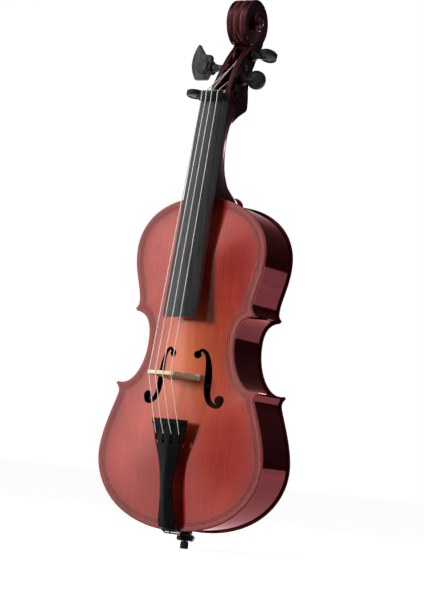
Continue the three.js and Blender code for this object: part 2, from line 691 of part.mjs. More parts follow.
function nut() {
  const half = boardHalfWidth(NUT_BOTTOM) + 0.3;
  const ring = [[-half, glueLine(NUT_BOTTOM) - GAP], [half, glueLine(NUT_BOTTOM) - GAP]];
  for (let i = 0; i <= 10; i++) {
    const place = lerp(1.42, -1.42, i / 10);
    ring.push([(place * STRING_SPREAD.nut) / 2, NUT_OUTER_STRING - stringCrown(place) - 0.6]);
  }
  const blank = topPrism(ring, NUT_BOTTOM, NUT_TOP);
  const foot = boxBetween([-60, glueLine(NUT_TOP) - GAP, NUT_BOTTOM - 5], [60, 0, NUT_TOP + 5]);
  const grooves = STRINGS.map((string) => {
    const { nut: low, nutEnd: high } = stringPlaces(string);
    const width = string.radius + 0.5;
    return boxBetween([low[0] - width, low[1] - 6, NUT_BOTTOM - 5],
      [high[0] + width, high[1] + width, NUT_TOP + 5]);
  });
  const slope = sidePrism([[-110, NUT_TOP - 4], [-92, NUT_TOP + 4], [-110, NUT_TOP + 4]], -50, 50);
  return cut(blank, [foot, ...grooves, slope]);
}

// ---------- bridge ----------
const BRIDGE = { footThickness: 15, topThickness: 8, footHalfSpan: 47, footInner: 24, topHalfSpan: 33,
  crown: 2.6 };

function bridge() {
  const foot = (x) => -HALF_DEPTH - GAP - archHeight(x, BRIDGE_HEIGHT_ON_BODY);
  const footLow = Math.min(foot(BRIDGE.footHalfSpan), foot(BRIDGE.footInner), foot(36)) - 0.2;
  const half = [
    [0, -112], [9, -110], [17, -103], [BRIDGE.footInner, footLow - 8], [BRIDGE.footInner, footLow],
    [BRIDGE.footHalfSpan, footLow], [BRIDGE.footHalfSpan, footLow - 6], [38, footLow - 12], [35, -112],
    [37, -120], [31, -128], [31, -133], [41, -138], [41, -144], [35, -152], [32, -164],
    [BRIDGE.topHalfSpan, BRIDGE_TOP + 3],
  ];
  const crown = [0.78, 0.45, 0].map((place) =>
    [place * BRIDGE.topHalfSpan, BRIDGE_TOP - BRIDGE.crown * (1 - place * place)]);
  const right = [...half, ...crown.slice(0, -1)];
  const outline = [...right, crown[2], ...mirrored(right).slice(0, -1)];
  const heart = [[0, -126], [7, -134], [7, -141], [3, -144], [0, -141], [-3, -144], [-7, -141], [-7, -134]];
  const low = BRIDGE_HEIGHT_ON_BODY - BRIDGE.footThickness / 2;
  const blank = topPrism(outline, low, low + BRIDGE.footThickness);
  const taper = (BRIDGE.footThickness - BRIDGE.topThickness) / 2;
  const side = [[footLow + 1, low], [footLow + 1, low + BRIDGE.footThickness],
    [BRIDGE_TOP - 5, low + BRIDGE.footThickness - taper], [BRIDGE_TOP - 5, low + taper]];
  const grooves = STRINGS.map((string) => {
    const at = stringPlaces(string).bridge;
    const width = string.radius + 0.5;
    return boxBetween([at[0] - width, at[1] - 8, low - 5], [at[0] + width, at[1] + width + 1.4, low + 30]);
  });
  return cut(common(blank, sidePrism(side, -60, 60)), [topPrism(heart, low - 5, low + 30), ...grooves]);
}

// ---------- tailpiece, saddle and tail cord ----------
const TAILPIECE_HALF_WIDTH = [[7, 20], [20, 22], [50, 18.6], [80, 16.2], [110, 16.4], [140, 20], [170, 27.5],
  [200, 36], [230, 42.5], [247, 45.5]];
const TAILPIECE_EDGE = [[7, -87], [50, -97.5], [110, -109], [170, -113], [247, -121]];
const TAILPIECE_RISE = 8;
const TAILPIECE_THICKNESS = 6;
const TAILPIECE_ENDS = [7, 247];

function tailpieceRing(z) {
  const half = readTable(TAILPIECE_HALF_WIDTH, z);
  const edge = readTable(TAILPIECE_EDGE, z);
  const rise = TAILPIECE_RISE;
  return [[-half, edge + TAILPIECE_THICKNESS, z], [-half, edge, z], [-half * 0.45, edge - rise * 0.62, z],
    [0, edge - rise, z], [half * 0.45, edge - rise * 0.62, z], [half, edge, z],
    [half, edge + TAILPIECE_THICKNESS, z]];
}

function tailpiece() {
  const blank = loft([TAILPIECE_ENDS[0], 20, 50, 80, 110, 140, 170, 200, 230, TAILPIECE_ENDS[1]]
    .map(tailpieceRing));
  const ridgeTop = TAILPIECE_RIDGE.y + 1.6;
  const ridgeOutline = [[-40, -118], [40, -118], [38, ridgeTop + 1], [30, ridgeTop - 0.4],
    [10, ridgeTop - STRING_CROWN], [-10, ridgeTop - STRING_CROWN], [-30, ridgeTop - 0.4],
    [-38, ridgeTop + 1]];
  const ridge = topPrism(ridgeOutline, TAILPIECE_RIDGE.z - 3, TAILPIECE_RIDGE.z + 3);
  const cutters = [];
  for (const string of STRINGS) {
    const { slot, ridge: over } = stringPlaces(string);
    const width = string.radius + 0.7;
    cutters.push(boxBetween([slot[0] - width, -150, 192], [slot[0] + width, -100, 229]));
    const grooveFloor = over[1] + width + 1.4;
    cutters.push(boxBetween([over[0] - width, over[1] - 8, 210], [over[0] + width, grooveFloor, 260]));
  }
  return cut(joined([blank, ridge]), cutters);
}

function saddle() {
  const profile = [[-RIB_HALF_DEPTH - GAP, SADDLE.bottom], [SADDLE.front + 4, SADDLE.bottom],
    [SADDLE.front, SADDLE.bottom + 4], [SADDLE.front + 2, SADDLE.top], [-RIB_HALF_DEPTH - GAP, SADDLE.top]];
  return sidePrism(profile, -SADDLE.halfWidth, SADDLE.halfWidth);
}

const COLLAR_NECK_RADIUS = 12;
const TAIL_CORD_RADIUS = 1.7;

function tailCord() {
  const loop = COLLAR_NECK_RADIUS + TAIL_CORD_RADIUS + 0.6;
  const start = TAILPIECE_ENDS[0] - GAP;
  const side = [[8, -84, start], [8, -83, 1], [8, -79, -3.2], [8, -72, -4.4], [10, -58, -5],
    [loop, -12, -6.5]];
  const bend = Array.from({ length: 9 }, (_, i) => {
    const angle = (Math.PI * i) / 8;
    return [loop * Math.cos(angle), loop * Math.sin(angle), -6.5];
  });
  const otherSide = side.map(([x, y, z]) => [-x, y, z]).reverse();
  return cordThrough([...side, ...bend, ...otherSide], TAIL_CORD_RADIUS, 8);
}

// ---------- endpin ----------
const ENDPIN = { radius: 5, bottom: -30, top: 440 };
const COLLAR_FLANGE = { radius: 19, top: -9.2, bottom: -20 };
const SCREW = { height: -14.6, radius: 3, holeRadius: 3.4, headRadius: 8, start: 6.2, end: 32.5 };
const TIP_TOP = COLLAR_FLANGE.bottom - 1;

function endpinCollar() {
  const bore = ENDPIN.radius + 0.6;
  const profile = [[bore, COLLAR_FLANGE.bottom], [15, COLLAR_FLANGE.bottom], [COLLAR_FLANGE.radius, -18],
    [COLLAR_FLANGE.radius, COLLAR_FLANGE.top - 1], [COLLAR_FLANGE.radius - 1, COLLAR_FLANGE.top],
    [COLLAR_NECK_RADIUS, COLLAR_FLANGE.top], [COLLAR_NECK_RADIUS, -3.8], [16, -3.8], [16, 4.6],
    [COLLAR_SHANK_RADIUS, 4.6], [COLLAR_SHANK_RADIUS - 1.5, 40], [bore, 40], [bore, COLLAR_FLANGE.bottom]];
  const { holeRadius, height } = SCREW;
  const hole = new THREE.CylinderGeometry(holeRadius, holeRadius, 30, 16).translate(0, 19, height);
  return cut(turnedZ(profile, 28), [hole]);
}

function endpinRod() {
  return rodZ(ENDPIN.bottom, ENDPIN.top, 0, 0, ENDPIN.radius, 16);
}

function endpinTip() {
  const socket = ENDPIN.radius + GAP + 0.1;
  const profile = [[0, -BODY_LIFT], [8, -BODY_LIFT], [9.5, -BODY_LIFT + 2], [9.5, -28], [8, TIP_TOP],
    [socket, TIP_TOP], [socket, ENDPIN.bottom - GAP], [0, ENDPIN.bottom - GAP]];
  return turnedZ(profile, 20);
}

function endpinScrew() {
  const profile = [[0, SCREW.start], [SCREW.radius, SCREW.start], [SCREW.radius, 20.5], [5.5, 21], [5.5, 24],
    [SCREW.headRadius, 25], [SCREW.headRadius, 31], [6.5, SCREW.end], [0, SCREW.end]];
  return turnedY(profile, 16).translate(0, 0, SCREW.height);
}

// ---------- finishes ----------
const finish = (color, roughness, metalness = 0) =>
  new THREE.MeshStandardMaterial({ color, roughness, metalness });
const RED_VARNISH = finish(0xb23a26, 0.25);
const DARK_VARNISH = finish(0x2c0c0c, 0.2);
const BARE_SPRUCE = finish(0xd8bd8a, 0.75);
const BRIDGE_MAPLE = finish(0xe8d5a0, 0.6);
const EBONY = finish(0x1c1b1c, 0.4);
const PEG_BLACK = finish(0x303030, 0.45);
const STRING_WHITE = finish(0xe6e2dc, 0.35, 0.4);
const STEEL = finish(0xb8bbc0, 0.25, 1);
const RUBBER = finish(0x151515, 0.85);

// ---------- assembly ----------
const cello = new THREE.Group();
cello.name = 'cello';
cello.position.z = BODY_LIFT;

function add(name, geometry, material) {
  const mesh = new THREE.Mesh(geometry, material);
  mesh.name = name;
  cello.add(mesh);
}

add('top_plate', topPlate(), RED_VARNISH);
add('back_plate', backPlate(), DARK_VARNISH);
for (const bout of ['lower', 'waist', 'upper']) {
  add(`${bout}_rib_treble`, rib(bout), DARK_VARNISH);
  add(`${bout}_rib_bass`, mirrorX(rib(bout)), DARK_VARNISH);
  for (const [place, side] of [['front', -1], ['back', 1]]) {
    add(`${bout}_lining_${place}_treble`, lining(bout, side), BARE_SPRUCE);
    add(`${bout}_lining_${place}_bass`, mirrorX(lining(bout, side)), BARE_SPRUCE);
  }
}
add('end_block', endBlock(), BARE_SPRUCE);
add('top_block', topBlock(), BARE_SPRUCE);
for (const [place, block] of [['lower', lowerCornerBlock()], ['upper', upperCornerBlock()]]) {
  add(`${place}_corner_block_treble`, block, BARE_SPRUCE);
  add(`${place}_corner_block_bass`, mirrorX(block), BARE_SPRUCE);
}
add('bass_bar', bassBar(), BARE_SPRUCE);
add('sound_post', soundPost(), BARE_SPRUCE);
add('neck', neckWithScroll(), DARK_VARNISH);
add('fingerboard', fingerboard(), EBONY);
add('nut', nut(), EBONY);
add('bridge', bridge(), BRIDGE_MAPLE);
add('tailpiece', tailpiece(), EBONY);
add('saddle', saddle(), EBONY);
add('tail_cord', tailCord(), EBONY);
for (const string of STRINGS) add(string.name, stringSolid(string), STRING_WHITE);
for (const [name, place] of Object.entries(PEGS)) add(`peg_${name}`, peg(place), PEG_BLACK);
add('endpin_collar', endpinCollar(), EBONY);
add('endpin_rod', endpinRod(), STEEL);
add('endpin_tip', endpinTip(), RUBBER);
add('endpin_screw', endpinScrew(), STEEL);

export default cello;
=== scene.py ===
import json
import math

import bmesh
import bpy
import numpy as np
from mathutils import Matrix, Vector
from mathutils.geometry import delaunay_2d_cdt


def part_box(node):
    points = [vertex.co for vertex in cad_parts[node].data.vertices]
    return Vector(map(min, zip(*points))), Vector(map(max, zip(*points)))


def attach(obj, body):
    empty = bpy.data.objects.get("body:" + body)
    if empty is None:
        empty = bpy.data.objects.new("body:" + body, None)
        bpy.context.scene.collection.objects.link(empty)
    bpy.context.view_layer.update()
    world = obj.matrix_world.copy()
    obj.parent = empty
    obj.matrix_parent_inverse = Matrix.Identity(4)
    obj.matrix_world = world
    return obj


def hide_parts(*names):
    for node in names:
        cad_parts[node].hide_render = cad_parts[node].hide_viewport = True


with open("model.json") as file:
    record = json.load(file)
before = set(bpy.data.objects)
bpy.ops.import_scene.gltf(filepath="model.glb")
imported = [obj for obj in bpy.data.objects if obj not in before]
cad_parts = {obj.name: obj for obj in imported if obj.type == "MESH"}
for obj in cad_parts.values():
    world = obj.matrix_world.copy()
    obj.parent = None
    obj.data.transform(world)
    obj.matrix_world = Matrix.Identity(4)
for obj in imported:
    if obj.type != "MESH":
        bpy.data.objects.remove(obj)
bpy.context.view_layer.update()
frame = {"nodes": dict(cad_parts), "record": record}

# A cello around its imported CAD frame. Shapes are worked out in millimetres in the body's own frame:
# X across (plus is the treble side), -Y the front, Z up from the bottom edge of the plates.
MM = 0.001
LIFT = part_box("back_plate")[0].z / MM  # bottom edge of the plates above the endpin's end
ROOT = "instrument"

# ---------- driving dimensions, in mm ----------
HALF_DEPTH = 65.1
PLATE_THICKNESS = 4.5
ARCH_HEIGHT = 22
ARCH_EDGE = 14  # flat band along the edge
ARCH_REACH = [(0, 150), (160, 185), (300, 140), (430, 106), (520, 125), (625, 150), (755, 130)]
CHANNEL_DEPTH = 0.35  # shallow groove inside the edge
CHANNEL_MIDDLE = 12.0
CHANNEL_WIDTH = 5.0
OVERHANG = 5
RIB_THICKNESS = 2
GAP = 0.3
RIB_HALF_DEPTH = HALF_DEPTH - PLATE_THICKNESS - GAP
PURFLING = 15.5  # middle of the two inlaid lines, in from the edge
PURFLING_OFFSET = 2.2  # each line's place to either side of that middle
PURFLING_HALF = 0.65

BRIDGE_HEIGHT = 345
BRIDGE_TOP = -181.5
BRIDGE_FOOT_HALF = 7.5
BRIDGE_TAPER = 3.5  # taken off each side by the top
NUT_BOTTOM = 972
NUT_TOP = 992
BOARD_END = 474
BOARD_RADIUS = 75
NECK_FOOT = 750.3
NECK_FOOT_HALF = 33.4
TENON_HALF = 20
PEG_RADIUS = 6.5
PEG_HOLE_RADIUS = 7.1
SPREAD = {"tailpiece": 60.8, "bridge": 56.4, "nut": 41}  # outer string to outer string
# Where the strings are. The inner ones stand further forward than these, except in the slot.
SLOT_PLACE = (-123, 214)
RIDGE_PLACE = (-134.5, 238)
BRIDGE_STRING_Y = -182
NUT_STRING_Y = -98

NECK_DATUM = 979  # height where the neck's straight lines are given
GLUE_LINE = (-60.5, -0.111)  # value at the datum, and change for each mm below it
BOARD_HALF_WIDTH = (29.1, 0.0251)
BOARD_EDGE = (-84.5, -0.0873)


# ---------- small tools ----------
SHARP_FROM = 35  # edges bent by more than this many degrees are drawn sharp


def lerp(a, b, t):
    return a + (b - a) * t


def smoothstep(t):
    t = np.clip(t, 0, 1)
    return t * t * (3 - 2 * t)


def read_table(table, key):
    keys, values = zip(*table)
    return np.interp(key, keys, values)


def smooth_line(points, per_span=8):
    """Points along a smooth curve through the given ones."""
    line = np.array(points, float)
    padded = np.vstack([2 * line[0] - line[1], line, 2 * line[-1] - line[-2]])
    out = []
    for i in range(1, len(padded) - 2):
        p0, p1, p2, p3 = padded[i - 1:i + 3]
        for t in np.arange(per_span) / per_span:
            out.append(0.5 * (2 * p1 + (p2 - p0) * t + (2 * p0 - 5 * p1 + 4 * p2 - p3) * t * t
                              + (3 * p1 - p0 - 3 * p2 + p3) * t ** 3))
    out.append(line[-1])
    return np.array(out)


def smooth_table(table):
    return [tuple(row) for row in smooth_line(table)]


def bezier(start, control_a, control_b, end, steps):
    t = np.linspace(0, 1, steps + 1)[:, None]
    a, b, c, d = (np.array(p, float) for p in (start, control_a, control_b, end))
    return (1 - t) ** 3 * a + 3 * (1 - t) ** 2 * t * b + 3 * (1 - t) * t * t * c + t ** 3 * d


def full_turn(sides):
    return np.arange(sides) * 2 * math.pi / sides


def circle(cx, cy, radius, sides):
    turn = full_turn(sides)
    return np.column_stack([cx + radius * np.cos(turn), cy + radius * np.sin(turn)])


def sideways(along):
    """Unit vectors at a right angle to the given directions, to their left."""
    along = along / np.linalg.norm(along, axis=1)[:, None]
    return np.column_stack([-along[:, 1], along[:, 0]])


def grid_points(xs, zs):
    return np.stack(np.meshgrid(xs, zs, indexing="ij"), -1).reshape(-1, 2)


def both_faces(face):
    """Turned profile with two like ends, from the rows of one end, its centre first."""
    return [(radius, -along) for radius, along in face] + face[::-1]


def mirrored(line):
    """The same line on the other side of x = 0, in reverse order."""
    return (np.array(line, float) * [-1, 1])[::-1]


def to_world(points):
    return (np.array(points, float) + [0, 0, LIFT]) * MM


def length_shares(line):
    """How far along its length each point of the line is, from 0 to 1."""
    steps = np.linalg.norm(np.diff(line, axis=0), axis=1)
    return np.insert(np.cumsum(steps), 0, 0) / steps.sum()


# ---------- making meshes ----------
def linked_object(name, data):
    obj = bpy.data.objects.new(name, data)
    bpy.context.collection.objects.link(obj)
    return obj


def mesh_object(name, points, faces):
    mesh = bpy.data.meshes.new(name)
    mesh.from_pydata(to_world(points).tolist(), [], [tuple(int(i) for i in face) for face in faces])
    work = bmesh.new()
    work.from_mesh(mesh)
    bmesh.ops.remove_doubles(work, verts=work.verts, dist=1e-6)
    bmesh.ops.recalc_face_normals(work, faces=work.faces)
    work.to_mesh(mesh)
    work.free()
    return linked_object(name, mesh)


def apply_modifiers(obj):
    graph = bpy.context.evaluated_depsgraph_get()
    obj.data = bpy.data.meshes.new_from_object(obj.evaluated_get(graph))
    obj.modifiers.clear()


def bevel(obj, width, segments=3, angle=32):
    modifier = obj.modifiers.new("bevel", "BEVEL")
    modifier.width = width * MM
    modifier.segments = segments
    modifier.limit_method = "ANGLE"
    modifier.angle_limit = math.radians(angle)
    modifier.use_clamp_overlap = True
    apply_modifiers(obj)


def carve(obj, cutters):
    """Takes the cutters away from obj, then removes them."""
    for cutter in cutters:
        modifier = obj.modifiers.new("cut", "BOOLEAN")
        modifier.operation = "DIFFERENCE"
        modifier.solver = "EXACT"
        modifier.object = cutter
    apply_modifiers(obj)
    for cutter in cutters:
        bpy.data.objects.remove(cutter)


def join(objects):
    """One object out of several, with all their faces."""
    work = bmesh.new()
    for obj in objects:
        work.from_mesh(obj.data)
    first = objects[0]
    work.to_mesh(first.data)
    work.free()
    for obj in objects[1:]:
        bpy.data.objects.remove(obj)
    return first


def faces_between(rings, around, first=0):
    """Faces between neighbouring rings of points, which are numbered on from the first point."""
    faces = []
    for start in range(first, first + (rings - 1) * around, around):
        for i in range(around):
            a, b = start + i, start + (i + 1) % around
            faces.append((a, b, b + around, a + around))
    return faces


def skin(name, rings):
    """Surface over rings of points with the same number of points each, with both ends capped."""
    rings = np.array(rings, float)
    count, around = rings.shape[:2]
    faces = faces_between(count, around)
    faces.append(tuple(range(around)))
    faces.append(tuple(range((count - 1) * around, count * around)))
    return mesh_object(name, rings.reshape(-1, 3), faces)


def prism(name, outline, low, high, axis):
    """An outline filled between two places along an axis. Its two values are the other two axes."""
    rings = [np.insert(np.array(outline, float), axis, place, axis=1) for place in (low, high)]
    return skin(name, rings)


def turned(name, profile, sides, axis, centre=(0, 0, 0)):
    """Solid of revolution. Each profile row is (radius, place along the axis)."""
    turn = full_turn(sides)
    rings = []
    for radius, along in profile:
        ring = np.zeros((sides, 3))
        ring[:, (axis + 1) % 3] = radius * np.cos(turn)
        ring[:, (axis + 2) % 3] = radius * np.sin(turn)
        ring[:, axis] = along
        rings.append(ring + centre)
    return skin(name, rings)


def tube(name, path, radius, sides=12):
    """Round tube along a path, without twist."""
    path = np.array(path, float)
    along = np.gradient(path, axis=0)
    along /= np.linalg.norm(along, axis=1)[:, None]
    side = np.cross([1, 0.01, 0], along[0])
    turn = full_turn(sides)
    rings = []
    for point, forward in zip(path, along):
        side = side - forward * side.dot(forward)
        side = side / np.linalg.norm(side)
        up = np.cross(forward, side)
        rings.append(point + radius * (np.outer(np.cos(turn), side) + np.outer(np.sin(turn), up)))
    return skin(name, rings)


def vertex_places(obj):
    return np.array([v.co for v in obj.data.vertices]) / MM - [0, 0, LIFT]


def paint(obj, name, values):
    attribute = obj.data.attributes.new(name, "FLOAT", "POINT")
    attribute.data.foreach_set("value", values.astype(np.float32))


def shade(obj, materials, sharp_from):
    for material in materials:
        obj.data.materials.append(material)
    obj.data.shade_smooth()
    obj.data.set_sharp_from_angle(angle=math.radians(sharp_from))


def finish_piece(obj, node, body, materials, sharp_from=SHARP_FROM):
    """Shading, materials and the CAD node that the piece stands for."""
    obj.name = node + "_fine"
    shade(obj, materials if isinstance(materials, list) else [materials], sharp_from)
    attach(obj, body)
    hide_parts(node)
    return obj


# ---------- materials ----------
class Shader:
    """A material with its Principled shader, and short ways to add nodes to it."""

    def __init__(self, name, **sockets):
        self.material = bpy.data.materials.new(name)
        self.material.use_nodes = True
        self.tree = self.material.node_tree
        self.principled = self.tree.nodes["Principled BSDF"]
        for socket, value in sockets.items():
            self.principled.inputs[socket.replace("_", " ")].default_value = value

    def node(self, kind, **values):
        made = self.tree.nodes.new(kind)
        for key, value in values.items():
            if key in made.inputs:
                made.inputs[key].default_value = value
            else:
                setattr(made, key, value)
        return made

    def link(self, output, target):
        self.tree.links.new(output, target)

    def place(self, scale):
        """Object coordinates, stretched by scale along each axis."""
        where = self.node("ShaderNodeTexCoord")
        mapping = self.node("ShaderNodeMapping")
        mapping.inputs["Scale"].default_value = scale
        self.link(where.outputs["Object"], mapping.inputs["Vector"])
        return mapping.outputs["Vector"]

    def noise(self, scale, detail=4.0, stretch=(1, 1, 1), distortion=0.0):
        made = self.node("ShaderNodeTexNoise", Scale=scale, Detail=detail, Distortion=distortion)
        self.link(self.place(stretch), made.inputs["Vector"])
        return made.outputs["Fac"]

    def ramp(self, value, stops):
        made = self.node("ShaderNodeValToRGB")
        elements = made.color_ramp.elements
        while len(elements) < len(stops):
            elements.new(0.5)
        for element, (position, color) in zip(elements, stops):
            element.position = position
            element.color = (*color, 1)
        self.link(value, made.inputs["Fac"])
        return made.outputs["Color"]

    def mix(self, factor, a, b, blend="MIX"):
        made = self.node("ShaderNodeMix", data_type="RGBA", blend_type=blend)
        for index, value in ((0, factor), (6, a), (7, b)):
            if isinstance(value, bpy.types.NodeSocket):
                self.link(value, made.inputs[index])
            elif index == 0:
                made.inputs[index].default_value = value
            else:
                made.inputs[index].default_value = (*value, 1)
        return made.outputs[2]

    def attribute(self, name):
        return self.node("ShaderNodeAttribute", attribute_name=name).outputs["Fac"]

    def color(self, value):
        self.link(value, self.principled.inputs["Base Color"])

    def rough(self, value, low, high):
        made = self.node("ShaderNodeMapRange")
        made.inputs["To Min"].default_value = low
        made.inputs["To Max"].default_value = high
        self.link(value, made.inputs["Value"])
        self.link(made.outputs["Result"], self.principled.inputs["Roughness"])

    def bump(self, value, distance, strength=0.5):
        made = self.node("ShaderNodeBump", Strength=strength, Distance=distance)
        self.link(value, made.inputs["Height"])
        self.link(made.outputs["Normal"], self.principled.inputs["Normal"])


def gray(value):
    return (value, value, value)


def two_tone(name, noise, stops, roughness, bump=None, **sockets):
    """Two colours that follow one noise, and roughness and bump that follow it too."""
    shader = Shader(name, **sockets)
    fleck = shader.noise(*noise)
    shader.color(shader.ramp(fleck, stops))
    shader.rough(fleck, *roughness)
    if bump:
        shader.bump(fleck, *bump)
    return shader.material


def spruce_varnish():
    """Red-orange varnish over straight spruce grain, lighter in the middle and darker towards the edge."""
    shader = Shader("varnish_spruce", Specular_IOR_Level=0.1,
                    Coat_Weight=0.9, Coat_Roughness=0.09, Coat_IOR=2.1)
    cloud = shader.noise(7.0, 4.0, distortion=0.4)
    grain = shader.noise(60.0, 3.0, stretch=(6, 1, 0.12))
    tint = shader.ramp(cloud, [(0.32, (0.35, 0.011, 0.006)), (0.68, (0.58, 0.040, 0.012))])
    grain_tint = shader.ramp(grain, [(0.35, (0.66, 0.52, 0.48)), (0.6, (1, 1, 1))])
    grained = shader.mix(0.6, tint, grain_tint, "MULTIPLY")
    warm = shader.mix(shader.attribute("warmth"), grained, (0.95, 0.26, 0.075))
    shader.color(shader.mix(shader.attribute("rim"), warm, (0.150, 0.006, 0.006)))
    shader.rough(grain, 0.30, 0.44)
    shader.bump(grain, 0.0005, 0.3)
    return shader.material


def lacquer(name, low, high, middle, edge_tint):
    """Deep wine-red lacquer over flamed maple, tinting what it reflects. Painted highlight in the scroll's
    channels.
    """
    shader = Shader(name, Metallic=0.75, Specular_Tint=edge_tint,
                    Coat_Weight=0.2, Coat_Roughness=0.03, Coat_IOR=1.4)
    flame = shader.noise(22.0, 2.0, stretch=(0.25, 0.25, 3.2), distortion=0.6)
    cloud = shader.noise(7.0, 3.0)
    flamed = shader.ramp(flame, [(0.35, low), (0.68, high)])
    clouded = shader.mix(cloud, flamed, middle)
    # painted highlight: a lighter, warmer red inside the scroll's channels
    shader.color(shader.mix(shader.attribute("worn"), clouded, (0.22, 0.056, 0.054)))
    shader.rough(cloud, 0.05, 0.11)
    shader.bump(flame, 0.0006, 0.10)
    return shader.material


def ebony(name, low, high, roughness, specular):
    """Black wood with faint long streaks."""
    stops = [(0.35, gray(low)), (0.7, gray(high))]
    return two_tone(name, (46.0, 4.0, (3, 3, 0.10)), stops, roughness, (0.0002, 0.2),
                    Specular_IOR_Level=specular)


def pale_maple():
    """Bare maple for the bridge, with short flecks."""
    stops = [(0.35, (0.88, 0.70, 0.38)), (0.62, (0.98, 0.88, 0.62))]
    return two_tone("maple_bare", (90.0, 3.0, (0.5, 1, 4)), stops, (0.42, 0.6), (0.0002, 0.25))


def shaded_inner_wood():
    """Near-black wood inside the body: painted shade of the body's hollow."""
    stops = [(0.35, (0.030, 0.014, 0.007)), (0.65, (0.060, 0.030, 0.015))]
    return two_tone("wood_inside_shade", (60.0, 3.0, (6, 1, 0.12)), stops, (0.7, 0.9))


def bare_spruce():
    """Unvarnished spruce of the pieces inside the body."""
    stops = [(0.35, (0.50, 0.33, 0.16)), (0.65, (0.72, 0.55, 0.32))]
    return two_tone("spruce_bare", (70.0, 3.0, (4, 4, 0.15)), stops, (0.6, 0.8), (0.0003, 0.3))


def wound_string():
    """Pale wound string: fine rings across its length."""
    shader = Shader("string_wound", Specular_IOR_Level=0.8)
    winding = shader.node("ShaderNodeTexWave", Scale=260.0, Distortion=0.0, bands_direction="Z")
    shader.link(shader.place((1, 1, 1)), winding.inputs["Vector"])
    shader.color(shader.ramp(winding.outputs["Fac"], [(0.0, (0.92, 0.90, 0.86)), (1.0, (1.0, 0.99, 0.97))]))
    shader.rough(winding.outputs["Fac"], 0.35, 0.5)
    return shader.material


def steel():
    """Turned steel with fine circular marks."""
    stops = [(0.3, gray(0.42)), (0.7, gray(0.62))]
    return two_tone("steel_turned", (160.0, 3.0, (0.3, 0.3, 4)), stops, (0.22, 0.38), Metallic=1.0)


def rubber():
    """Matt black rubber."""
    stops = [(0.3, gray(0.012)), (0.7, gray(0.028))]
    return two_tone("rubber_matt", (400.0, 4.0), stops, (0.7, 0.9), (0.0002, 0.3))


def dark_inlay():
    stops = [(0.3, (0.030, 0.006, 0.006)), (0.7, (0.085, 0.014, 0.010))]
    return two_tone("inlay_dark", (120.0, 2.0), stops, (0.3, 0.45), Coat_Weight=1.0, Coat_Roughness=0.06)


def floor_paper():
    stops = [(0.3, gray(0.86)), (0.7, gray(0.90))]
    return two_tone("floor_paper", (30.0, 3.0), stops, (0.8, 0.95),
                    Emission_Color=(1, 1, 1, 1), Emission_Strength=0.7)


VARNISH = spruce_varnish()
DARK = lacquer("varnish_maple", (0.075, 0.008, 0.010), (0.190, 0.022, 0.027), (0.120, 0.013, 0.016),
               (1, 0.35, 0.40, 1))
NECK_DARK = lacquer("varnish_neck", (0.045, 0.011, 0.015), (0.115, 0.030, 0.039), (0.075, 0.019, 0.026),
                    (1, 0.62, 0.70, 1))
BOARD_EBONY = ebony("ebony_board", 0.018, 0.045, (0.28, 0.40), 1.0)
TAIL_BLACK = ebony("black_tailpiece", 0.004, 0.009, (0.26, 0.38), 0.22)
PEG_BLACK = ebony("black_peg", 0.007, 0.022, (0.16, 0.28), 0.22)
PEG_GRAY = ebony("gray_peg", 0.030, 0.090, (0.34, 0.50), 0.4)
BRIDGE_WOOD = pale_maple()
SPRUCE = bare_spruce()
# painted shade: near-black colour on the inner faces of the plates and ribs
INSIDE_SHADE = shaded_inner_wood()
STRING = wound_string()
STEEL = steel()
RUBBER = rubber()
INLAY = dark_inlay()


# ---------- outline of the body ----------
LOWER = np.vstack([
    bezier((0, 0), (143, 0), (216, 83), (216, 160), 56),
    bezier((216, 160), (216, 215), (181, 285), (179, 303), 34)[1:],
    bezier((179, 303), (179, 309), (183, 316), (188, 320), 6)[1:],
])
WAIST = np.vstack([
    bezier((184, 325), (143, 315), (112, 372), (113, 430), 34),
    bezier((113, 430), (113, 468), (127, 486), (153, 489), 22)[1:],
])
UPPER = np.vstack([
    bezier((157, 495), (151, 500), (149, 505), (149, 512), 6),
    bezier((149, 512), (150, 545), (170, 575), (170, 625), 28)[1:],
    bezier((170, 625), (170, 697), (108, 755), (0, 755), 50)[1:],
])
RIGHT = np.vstack([LOWER, WAIST, UPPER])
OUTLINE = np.vstack([RIGHT[:-1], mirrored(RIGHT)[:-1]])


def edge_distance(points):
    """Distance from each (x, z) point to the outline."""
    step = np.roll(OUTLINE, -1, axis=0) - OUTLINE
    length = (step ** 2).sum(1)
    nearest = np.full(len(points), np.inf)
    for (ax, az), (dx, dz), squared in zip(OUTLINE, step, length):
        px = points[:, 0] - ax
        pz = points[:, 1] - az
        t = np.clip((px * dx + pz * dz) / squared, 0, 1)
        nearest = np.minimum(nearest, np.hypot(px - t * dx, pz - t * dz))
    return nearest


def inside(points):
    """Which of the (x, z) points are inside the outline."""
    result = np.zeros(len(points), bool)
    ends = np.roll(OUTLINE, -1, axis=0)
    for (ax, az), (bx, bz) in zip(OUTLINE, ends):
        if az == bz:
            continue
        crosses = (az > points[:, 1]) != (bz > points[:, 1])
        where = (bx - ax) * (points[:, 1] - az) / (bz - az) + ax
        result ^= crosses & (points[:, 0] < where)
    return result


def inset(line, distance, closed=False):
    """The line moved into the body."""
    if closed:
        along = np.roll(line, -1, axis=0) - np.roll(line, 1, axis=0)
    else:
        along = np.gradient(line, axis=0)
    return line + distance * sideways(along)


